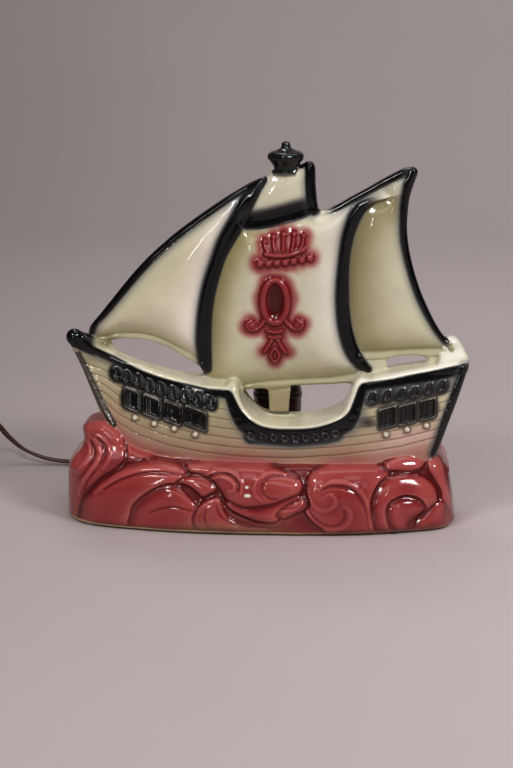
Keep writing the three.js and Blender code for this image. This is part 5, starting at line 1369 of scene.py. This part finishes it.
def glaze_material():
    """Mottled glaze with a fine net of crazing; matt where the mesh is dry."""
    mat, tree, bsdf = new_material("glazed_ceramic_mat")
    coords = tree.nodes.new("ShaderNodeTexCoord").outputs["Object"]
    glaze, dryness = (tree.nodes.new("ShaderNodeAttribute") for _ in range(2))
    glaze.attribute_name = "glaze"
    dryness.attribute_name = "dry"
    dry = dryness.outputs["Fac"]
    mottle = noise(tree, coords, 55, 5).outputs["Fac"]
    waver = noise(tree, coords, 420, 3).outputs["Color"]
    cells = tree.nodes.new("ShaderNodeTexVoronoi")
    cells.feature = "DISTANCE_TO_EDGE"
    cells.inputs["Scale"].default_value = 330
    cells.inputs["Randomness"].default_value = 1.0
    warped = mix(tree, "VECTOR", 0.012, coords, waver)
    tree.links.new(warped, cells.inputs["Vector"])
    craze = ramp(tree, cells.outputs["Distance"], 0.10, 0.0, 0.0, 0.05)
    tone = grey(tree, ramp(tree, mottle, 0.93, 1.05, 0.3, 0.7))
    toned = mix(tree, "RGBA", 1.0, glaze.outputs["Color"], tone, blend="MULTIPLY")
    crazed = mix(tree, "RGBA", craze, toned, linear((0.45, 0.40, 0.30)))
    glossy = ramp(tree, mottle, 0.06, 0.14)
    feed(tree, bsdf.inputs["Base Color"], crazed)
    feed(tree, bsdf.inputs["Roughness"], mix(tree, "FLOAT", dry, glossy, 0.85))
    # Change where dry, and the value where glazed.
    for socket, change, glazed in (
        ("Specular IOR Level", -0.3, 0.46),
        ("Coat Weight", -0.05, 0.05),
    ):
        feed(tree, bsdf.inputs[socket], arithmetic(tree, "MULTIPLY_ADD", dry, change, glazed))
    bsdf.inputs["Coat Roughness"].default_value = 0.03
    bump(tree, bsdf, noise(tree, coords, 160, 2).outputs["Fac"], strength=0.10, reach=0.0004)
    return mat


# ------------------------------------------------------------------------ meshes
def make_mesh(name, verts, faces, angle=None):
    """A smooth object from points in mm of the lamp's frame, sharp past an angle in degrees."""
    me = bpy.data.meshes.new(name)
    co = (np.asarray(verts, float) + ORIGIN) / 1000.0
    if isinstance(faces, np.ndarray):
        me.vertices.add(len(co))
        me.vertices.foreach_set("co", co.astype(np.float32).ravel())
        me.loops.add(faces.size)
        me.loops.foreach_set("vertex_index", faces.astype(np.int32).ravel())
        me.polygons.add(len(faces))
        starts = np.arange(0, faces.size, faces.shape[1], dtype=np.int32)
        me.polygons.foreach_set("loop_start", starts)
        me.update(calc_edges=True)
    else:
        me.from_pydata(co.tolist(), [], faces)
    me.validate()
    smooth_faces(me)
    if angle is not None:
        me.set_sharp_from_angle(angle=math.radians(angle))
    ob = bpy.data.objects.new(name, me)
    bpy.context.scene.collection.objects.link(ob)
    return ob


def smooth_faces(me):
    me.polygons.foreach_set("use_smooth", np.ones(len(me.polygons), bool))


def dress(ob, body, node, slot, mat=None):
    ob.data.materials.clear()
    ob.data.materials.append(mat or SLOT_MATERIALS[slot])
    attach(ob, body)
    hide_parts(node)


def thin_out(ob, ratio):
    """Keeps points where the glaze changes colour and thins the rest by shape."""
    tone = np.sqrt(paint(verts)[0])
    change = np.zeros(len(verts), np.float32)
    for k in range(4):
        start, end = quads[:, k], quads[:, (k + 1) % 4]
        difference = np.abs(tone[start] - tone[end]).max(1)
        np.maximum.at(change, start, difference)
        np.maximum.at(change, end, difference)
    limit = max(0.03, float(np.quantile(change, 0.88)))
    group = ob.vertex_groups.new(name="thin")
    group.add(np.flatnonzero(change <= limit).tolist(), 1.0, "REPLACE")
    fewer = ob.modifiers.new("fewer", "DECIMATE")
    fewer.vertex_group = "thin"
    fewer.vertex_group_factor = 1.0
    fewer.ratio = ratio
    fewer.use_collapse_triangulate = True
    bpy.context.view_layer.update()
    depsgraph = bpy.context.evaluated_depsgraph_get()
    me = bpy.data.meshes.new_from_object(ob.evaluated_get(depsgraph))
    ob.modifiers.clear()
    old = ob.data
    ob.data = me
    bpy.data.meshes.remove(old)
    me.name = "ceramic_visual"


def store_glaze(me):
    co = np.zeros(len(me.vertices) * 3, np.float32)
    me.vertices.foreach_get("co", co)
    col, dry = paint(co.reshape(-1, 3).astype(float) * 1000.0 - ORIGIN)
    rgba = np.hstack([col, np.ones((len(col), 1), np.float32)]).astype(np.float32)
    me.color_attributes.new("glaze", "FLOAT_COLOR", "POINT").data.foreach_set(
        "color", rgba.ravel())
    me.attributes.new("dry", "FLOAT", "POINT").data.foreach_set("value", dry)


MOST_TRIANGLES = 280000
GLAZE = glaze_material()
casting = make_mesh("ceramic_visual", verts, quads)
if 2 * len(quads) > MOST_TRIANGLES:
    thin_out(casting, MOST_TRIANGLES / (2 * len(quads)))
casting.vertex_groups.clear()
store_glaze(casting.data)
smooth_faces(casting.data)
dress(casting, "lamp_body", "ceramic_body", "glazed_ceramic", GLAZE)


# ------------------------------------------------- finer copies of turned pieces
def lathe(profile, segments, shape=lambda r, z, angle: r):
    """A body turned round Z from r,z rows that close on themselves or on the axis."""
    verts, faces, rings = [], [], []
    for r, z in profile:
        count = 1 if r < 1e-6 else segments
        rings.append(range(len(verts), len(verts) + count))
        for i in range(count):
            angle = 2 * math.pi * i / segments
            radius = shape(r, z, angle)
            verts.append((radius * math.cos(angle), radius * math.sin(angle), z))
    (r0, z0), (r1, z1) = profile[0], profile[-1]
    if abs(r0 - r1) < 1e-6 and abs(z0 - z1) < 1e-6 and r0 > 1e-6:
        verts = verts[:-segments]
        rings[-1] = rings[0]
    for a, b in zip(rings[:-1], rings[1:]):
        for i in range(segments):
            j = (i + 1) % segments
            if len(a) == 1:
                faces.append((a[0], b[j], b[i]))
            elif len(b) == 1:
                faces.append((a[i], a[j], b[0]))
            else:
                faces.append((a[i], a[j], b[j], b[i]))
    return np.array(verts), faces


def place(verts, x, y, z, axis="Z"):
    """Turns a body's own Z to the given axis and moves it."""
    if axis == "-Y":
        verts = np.stack([verts[:, 0], -verts[:, 2], verts[:, 1]], 1)
    if axis == "+Y":
        verts = np.stack([verts[:, 0], verts[:, 2], -verts[:, 1]], 1)
    return verts + np.array([x, y, z])


def join(verts, faces, more_verts, more_faces):
    shifted = [tuple(i + len(verts) for i in face) for face in more_faces]
    return np.vstack([verts, more_verts]), list(faces) + shifted


def bulb_envelope():
    """Frosted bulb: a half sphere over a long neck, with an inner wall."""
    radius, middle, wall = 30, 175.0, 0.9
    outer = [
        (radius * math.sin(a), middle + radius * math.cos(a))
        for a in np.linspace(0, math.pi / 2, 22)
    ]
    # Radius, height from the widest place.
    neck = points("""30,0 29.2,-8 26.8,-16 22.8,-24 18.6,-32 15.6,-40 14.2,-46 12.4,-49
                     11.5,-51.5 11.4,-59.5""")
    outer += curve([(r, middle + z) for r, z in neck], 5)[1:].tolist()
    inner = [
        (max(0.0, r - wall), middle + (z - middle) * 0.97 if z > middle else z)
        for r, z in outer
    ]
    verts, faces = lathe(inner + outer[::-1], 96)
    ob = make_mesh("bulb_envelope", place(verts, SOCKET_X, SOCKET_Y, 0), faces, angle=40)
    dress(ob, "bulb", "bulb_glass", "frosted_glass")


def bulb_cap():
    """Screw cap with round-crested thread rings."""
    foot, turns, steps, pitch = 102.4, 5, 12, 3.6 * 0.93
    thread = [
        (12.55 + 0.42 * math.cos(2 * math.pi * i / steps), foot + 1 + i / steps * pitch)
        for i in range(turns * steps + 1)
    ]
    top = foot + 1 + turns * pitch
    profile = [(7.4, foot - 0.8), (11.4, foot)] + thread + [
        (13.2, top + 1), (13.2, top + 5.4), (12.8, top + 5.4), (12.75, top + 1.2), (11.95, top),
        (11.95, foot + 1), (10.8, foot + 0.5), (7.4, foot - 0.2), (7.4, foot - 0.8),
    ]
    verts, faces = lathe(profile, 72)
    ob = make_mesh("bulb_cap_threaded", place(verts, SOCKET_X, SOCKET_Y, 0), faces, angle=38)
    dress(ob, "bulb", "bulb_screw_cap", "brass")


def socket_cap():
    """Moulded cap with fine ribs round its skirt."""
    foot_r, top_r, foot, top, bore = 17.0, 18.2, 53.0, 83.6, 5.15
    profile = [
        (bore, foot), (9.6, foot), (10.8, foot + 1), (12.6, foot + 2.2), (14.9, foot + 2.8),
        (foot_r - 0.6, foot + 3.6), (foot_r, foot + 5.4), (foot_r + 0.2, foot + 9),
        (top_r - 0.5, top - 5), (top_r - 0.3, top - 4), (top_r, top - 3.4), (top_r, top - 0.6),
        (top_r - 0.6, top), (foot_r - 2.4, top), (foot_r - 2.6, foot + 9.4), (bore, foot + 9.4),
        (bore, foot),
    ]
    # Tall steps are split in three.
    dense = []
    for a, b in zip(profile[:-1], profile[1:]):
        count = 3 if abs(b[1] - a[1]) > 3 else 1
        for k in range(count):
            dense.append((a[0] + (b[0] - a[0]) * k / count, a[1] + (b[1] - a[1]) * k / count))
    dense.append(profile[-1])

    def ribbed(r, z, angle):
        on_skirt = r > foot_r - 0.2 and foot + 7 < z < top - 4.2
        return r - (0.22 if on_skirt else 0.0) * (0.5 + 0.5 * math.cos(48 * angle))

    verts, faces = lathe(dense, 192, ribbed)
    ob = make_mesh("socket_cap_moulded", place(verts, SOCKET_X, SOCKET_Y, 0), faces, angle=45)
    dress(ob, "lamp_body", "socket_cap", "bakelite")


SWITCH_Z = 90  # height of the hub and the turn knob


def socket_shell():
    """Moulded shell with the switch's hub behind."""
    foot, top, radius, inner = 84.0, 119.0, 17.0, 15.0
    shell = [
        (inner, foot), (17.6, foot), (17.8, foot + 0.8), (17.6, foot + 1.8),
        (radius, foot + 2.4), (radius, foot + 8), (radius - 0.1, foot + 20), (radius, top - 3),
        (radius + 0.9, top - 2.4), (radius + 0.95, top - 1.4), (radius + 0.9, top - 0.6),
        (radius + 0.3, top), (inner + 0.6, top), (inner, top - 0.8), (inner, foot),
    ]
    verts, faces = lathe(shell, 96)
    hub = points("2.25,15.2 5,15.2 5.4,15.8 5.4,19.2 5,19.9 4,20.1 2.25,20.1 2.25,15.2")
    hub_verts, hub_faces = lathe(hub, 48)
    joined = join(place(verts, SOCKET_X, SOCKET_Y, 0), faces,
                  place(hub_verts, SOCKET_X, SOCKET_Y, SWITCH_Z, "+Y"), hub_faces)
    ob = make_mesh("socket_shell_moulded", *joined, angle=45)
    dress(ob, "lamp_body", "socket_shell", "bakelite")


def turn_knob():
    """Knob with a fluted skirt, a domed face and a pointer ridge across it."""
    profile = points("""
    0,2.6 2.25,2.6 2.25,-5.3 7.2,-5.3 8,-5 8.4,-4.4 8.55,-3 8.6,0 8.5,2.6 8.1,3.8 7.2,4.6
    5.4,5.15 3,5.3 0,5.35""")

    def fluted(r, z, angle):
        return r - (0.42 * (0.5 - 0.5 * math.cos(20 * angle)) if r > 7.9 else 0.0)

    verts, faces = lathe(profile, 160, fluted)
    rows, arc = 14, 9
    ridge = []
    for s in np.linspace(-6.4, 6.4, rows):
        half = 1.05 * math.sqrt(max(0.05, 1 - (s / 6.8) ** 2))
        for a in np.linspace(0, math.pi, arc):
            ridge.append((half * math.cos(a), 4.7 + 1.7 * math.sin(a) * (0.6 + 0.4 * half), s))
    ridge_faces = []
    for i in range(rows - 1):
        for k in range(arc - 1):
            a = i * arc + k
            ridge_faces.append((a, a + 1, a + arc + 1, a + arc))
    ridge_faces += [tuple(range(arc))[::-1], tuple(range((rows - 1) * arc, rows * arc))]
    for a in range(0, (rows - 1) * arc, arc):
        ridge_faces.append((a + arc - 1, a, a + arc, a + 2 * arc - 1))
    middle = (SOCKET_X, SOCKET_Y + 26, SWITCH_Z)
    joined = join(place(verts, *middle, "+Y"), faces, np.array(ridge) + middle, ridge_faces)
    ob = make_mesh("turn_knob_fluted", *joined, angle=50)
    dress(ob, "knob", "switch_knob", "bakelite")


# Path of the cord from the socket to the plug: x,y,z.
CORD_PATH = points("""
11,36,64.5 11,36,58 11,36,40 11,36,32 9,35,24 -3,30,13 -12,22,9 -34,18,9 -52,22,10 -62,34,11
-62,46,11 -62,58,11 -64,70,9.5 -72,88,6 -92,104,3.6 -118,112,3.1 -146,113,3 -164,113,3.4
-180,114,5.6 -196,116,11.6 -208,118,20.5 -217,120,30 -226,120,38.5 -236,118,42 -247,113,38.5
-254,106,29 -258,97,17 -259,86,8 -257,73,5.4 -252,60,6.2 -247,48,8.8 -244,38,11.6 -243,28,12.5
-243,20,12.5""")


def normalised(vectors):
    return vectors / np.linalg.norm(vectors, axis=1)[:, None]


def cord():
    """Two round cores side by side along the path."""
    stations, radius, offset = 420, 1.3, 1.22
    dense = curve(CORD_PATH, 14)
    lengths = np.linalg.norm(np.diff(dense, axis=0), axis=1)
    reached = np.concatenate([[0], np.cumsum(lengths)])
    evenly = np.linspace(0, reached[-1], stations)
    path = np.stack([np.interp(evenly, reached, dense[:, k]) for k in range(3)], 1)
    along = normalised(np.gradient(path, axis=0))
    steep = np.abs(along[:, 2])
    ups = normalised(np.stack([0 * steep, steep**2, 1 - 0.98 * steep], 1))
    for _ in range(160):  # evens out the twist
        ups[1:-1] = ups[1:-1] + ups[:-2] + ups[2:]
        ups = normalised(ups)
    across = normalised(np.cross(along, ups))
    ups = np.cross(across, along)
    section = []
    for side, start, end in ((1, -0.72, 0.72), (-1, 0.28, 1.72)):
        for a in np.linspace(math.pi * start, math.pi * end, 13):
            section.append((side * offset + radius * math.cos(a), radius * math.sin(a)))
    count = len(section)
    section = np.array(section)
    verts = (
        path[:, None, :] + across[:, None, :] * section[None, :, 0:1]
        + ups[:, None, :] * section[None, :, 1:2]
    ).reshape(-1, 3)
    faces = []
    for i in range(stations - 1):
        for k in range(count):
            a, b = i * count + k, i * count + (k + 1) % count
            faces.append((a, a + count, b + count, b))
    faces.append(tuple(range(count)))
    faces.append(tuple(range((stations - 1) * count, stations * count))[::-1])
    ob = make_mesh("cord_twin_core", verts, faces, angle=50)
    dress(ob, "lamp_body", "cord", "cord_vinyl")


def plug_body():
    """Turned plug with a waist, a ribbed rim and an open recess in front."""
    rim = 12.5
    waist = [(3.4, -20), (4.2, -20), (5.0, -19.0), (5.5, -14), (8.0, -9), (rim - 1, -3), (rim, 0)]
    profile = curve(waist, 5).tolist() + [
        (rim, 3), (rim, 8), (rim - 0.3, 8.7), (rim - 0.9, 9), (rim - 2.2, 9), (rim - 2.4, 8.7),
        (rim - 2.4, 5.5), (3.4, 5.5), (3.4, -20),
    ]

    def gripped(r, z, angle):
        on_rim = r > rim - 0.4 and 0.5 < z < 8.2
        return r - (0.35 * (0.5 - 0.5 * math.cos(18 * angle)) if on_rim else 0.0)

    verts, faces = lathe(profile, 144, gripped)
    ob = make_mesh("plug_body_moulded", place(verts, -243, 8, rim, "-Y"), faces, angle=50)
    dress(ob, "lamp_body", "plug_body", "bakelite")


bulb_envelope()
bulb_cap()
socket_cap()
socket_shell()
turn_knob()
cord()
plug_body()

# CAD nodes that stay as they are take their slot's finish.
slot_of = {part["node"]: part["material_slot"] for part in frame["record"]["subparts"]}
for name, ob in frame["nodes"].items():
    if ob.hide_render:
        continue
    ob.data.materials.clear()
    ob.data.materials.append(SLOT_MATERIALS.get(slot_of[name], GLAZE))
    smooth_faces(ob.data)
    ob.data.set_sharp_from_angle(angle=math.radians(34))

# ------------------------------------------------------------------------ studio
PAPER_TONE = (0.56, 0.52, 0.52, 1)  # of the paper and the world far from the lamps


def in_frame(x, y, z):
    """A point in mm of the lamp's frame, in metres of the scene."""
    return Vector(((x + ORIGIN[0]) / 1000, (y + ORIGIN[1]) / 1000, z / 1000))


def paper_material():
    mat = plain("paper_mat", (0.72, 0.678, 0.678), (0.705, 0.663, 0.663), rough=0.7, scale=3.0,
                rough_var=0.05)
    tree = mat.node_tree
    bsdf = next(n for n in tree.nodes if n.type == "BSDF_PRINCIPLED")
    out = next(n for n in tree.nodes if n.type == "OUTPUT_MATERIAL")
    xyz = tree.nodes.new("ShaderNodeSeparateXYZ")
    geometry = tree.nodes.new("ShaderNodeNewGeometry")
    tree.links.new(geometry.outputs["Position"], xyz.inputs[0])
    x, y, z = xyz.outputs
    # Painted light falloff: the paper darkens as it rises, toward the front and toward -X.
    rise = ramp(tree, z, 1.0, 0.80, 0.0, 0.07)
    near = ramp(tree, y, 0.86, 1.0, -0.75, -0.15)
    across = ramp(tree, x, 0.85, 1.22, -0.45, 0.45)
    painted_light_and_shade = arithmetic(tree, "MULTIPLY", arithmetic(tree, "MULTIPLY", rise, near), across)
    base = bsdf.inputs["Base Color"].links[0].from_socket
    painted_falloff_colour = mix(tree, "RGBA", 1.0, base, grey(tree, painted_light_and_shade), blend="MULTIPLY")
    tree.links.new(painted_falloff_colour, bsdf.inputs["Base Color"])
    bsdf.inputs["Specular IOR Level"].default_value = 0.2

    def mix_shader(factor, first, second):
        node = tree.nodes.new("ShaderNodeMixShader")
        for socket, source in zip(node.inputs, (factor, first, second)):
            tree.links.new(source, socket)
        return node.outputs[0]

    # Seen from behind, the sweep is clear.
    clear = tree.nodes.new("ShaderNodeBsdfTransparent")
    facing = tree.nodes.new("ShaderNodeNewGeometry")
    off_floor = ramp(tree, z, 0.0, 1.0, 0.0002, 0.0004)
    raised = arithmetic(tree, "MULTIPLY", off_floor, facing.outputs["Backfacing"])
    sides = mix_shader(raised, bsdf.outputs[0], clear.outputs[0])
    # Past the lamps' reach, the paper glows in its own tone for the camera only, a painted light
    # standing in for its lighting.
    glow = tree.nodes.new("ShaderNodeEmission")
    glow.inputs["Color"].default_value = PAPER_TONE
    before = ramp(tree, y, 1.0, 0.0, -2.2, -0.8)
    aside = ramp(tree, arithmetic(tree, "ABSOLUTE", x), 0.0, 1.0, 0.8, 1.8)
    light_path = tree.nodes.new("ShaderNodeLightPath")
    far = arithmetic(tree, "MULTIPLY", arithmetic(tree, "MAXIMUM", before, aside),
                     light_path.outputs["Is Camera Ray"])
    tree.links.new(mix_shader(far, sides, glow.outputs[0]), out.inputs[0])
    return mat


def backdrop():
    """Floor that curves up into a wall behind, with the floor run on under the sweep."""
    half, bend, radius, across = 8.0, 0.45, 0.75, 9
    profile = [(-8 + 8.45 * i / 30, 0.0) for i in range(31)]
    profile += [
        (bend + radius * math.sin(a), radius - radius * math.cos(a))
        for a in np.linspace(0, math.pi / 2, 18)[1:]
    ]
    profile += [(bend + radius, radius + 2.6 * i / 8) for i in range(1, 9)]
    verts = [(x, y, z) for y, z in profile for x in np.linspace(-half, half, across)]
    faces = []
    for i in range(len(profile) - 1):
        for k in range(across - 1):
            a = i * across + k
            faces.append((a, a + 1, a + across + 1, a + across))
    faces.append(tuple(len(verts) + i for i in range(4)))
    under = -0.0006
    verts += [(-half, bend, under), (half, bend, under), (half, 8.0, under), (-half, 8.0, under)]
    me = bpy.data.meshes.new("backdrop")
    me.from_pydata(verts, [], faces)
    smooth_faces(me)
    ob = bpy.data.objects.new("backdrop", me)
    bpy.context.scene.collection.objects.link(ob)
    me.materials.append(paper_material())


def area(name, offset, size, power, colour, aim=(0, 0, 0)):
    """A rectangular lamp at an offset from the ship's middle; aim is its target's offset."""
    middle = in_frame(0, 0, 120)
    light = bpy.data.lights.new(name, "AREA")
    light.shape = "RECTANGLE"
    light.size, light.size_y = size
    light.energy = power
    light.color = colour
    light.spread = math.pi
    ob = bpy.data.objects.new(name, light)
    ob.location = middle + Vector(offset)
    toward = (middle + Vector(aim)) - (middle + Vector(offset))
    ob.rotation_euler = toward.to_track_quat("-Z", "Y").to_euler()
    bpy.context.scene.collection.objects.link(ob)


def lights():
    area("left", (-0.66, -0.95, 1.15), size=(0.36, 0.22), power=10.5, colour=(1.0, 0.985, 0.96))
    area("window", (-0.62, -1.6, 0.46), size=(0.07, 0.5), power=3.6, colour=(1.0, 0.99, 0.97))
    area("window_right", (0.62, -1.5, 0.62), size=(0.05, 0.4), power=1.4,
         colour=(1.0, 0.99, 0.97))
    area("back", (-0.25, 0.85, 1.45), size=(0.5, 0.3), power=5, colour=(1.0, 0.99, 0.98))
    area("key_right", (1.10, -0.90, 1.10), size=(0.48, 0.30), power=21.5,
         colour=(0.99, 0.985, 1.0), aim=(0.12, 0.05, 0))
    area("top", (0.25, 0.05, 1.7), size=(1.3, 1.3), power=11, colour=(1.0, 0.99, 0.98))
    area("front_card", (-0.1, -1.5, 1.25), size=(1.7, 0.5), power=6, colour=(0.97, 0.98, 1.0))


def studio_world():
    """Dim cool light all round; the camera sees the paper's tone."""
    world = bpy.data.worlds.new("studio")
    world.use_nodes = True
    tree = world.node_tree
    ambient = tree.nodes["Background"]
    ambient.inputs["Color"].default_value = (0.93, 0.94, 1.0, 1)
    ambient.inputs["Strength"].default_value = 0.13
    seen = tree.nodes.new("ShaderNodeBackground")
    seen.inputs["Color"].default_value = PAPER_TONE
    both = tree.nodes.new("ShaderNodeMixShader")
    light_path = tree.nodes.new("ShaderNodeLightPath")
    tree.links.new(light_path.outputs["Is Camera Ray"], both.inputs[0])
    tree.links.new(ambient.outputs[0], both.inputs[1])
    tree.links.new(seen.outputs[0], both.inputs[2])
    out = next(n for n in tree.nodes if n.type == "OUTPUT_WORLD")
    tree.links.new(both.outputs[0], out.inputs[0])
    bpy.context.scene.world = world


def camera():
    """A little to the right of straight on, above, and looking at the ship's middle."""
    turn, rise, away = math.radians(4.0), math.radians(14.0), 1350.0
    look = np.array([
        -math.sin(turn) * math.cos(rise), math.cos(turn) * math.cos(rise), -math.sin(rise),
    ])
    data = bpy.data.cameras.new("camera")
    data.lens = 87.89
    data.sensor_width = 36.0
    data.clip_start, data.clip_end = 0.05, 50
    ob = bpy.data.objects.new("camera", data)
    ob.location = in_frame(*(np.array([-2.2, 0.0, 97.5]) - away * look))
    ob.rotation_mode = "QUATERNION"
    ob.rotation_quaternion = Vector(look).to_track_quat("-Z", "Y")
    bpy.context.scene.collection.objects.link(ob)
    bpy.context.scene.camera = ob


backdrop()
lights()
studio_world()
camera()
view = bpy.context.scene.view_settings
view.view_transform = "Standard"
view.look = "Medium High Contrast"
view.exposure = -0.74
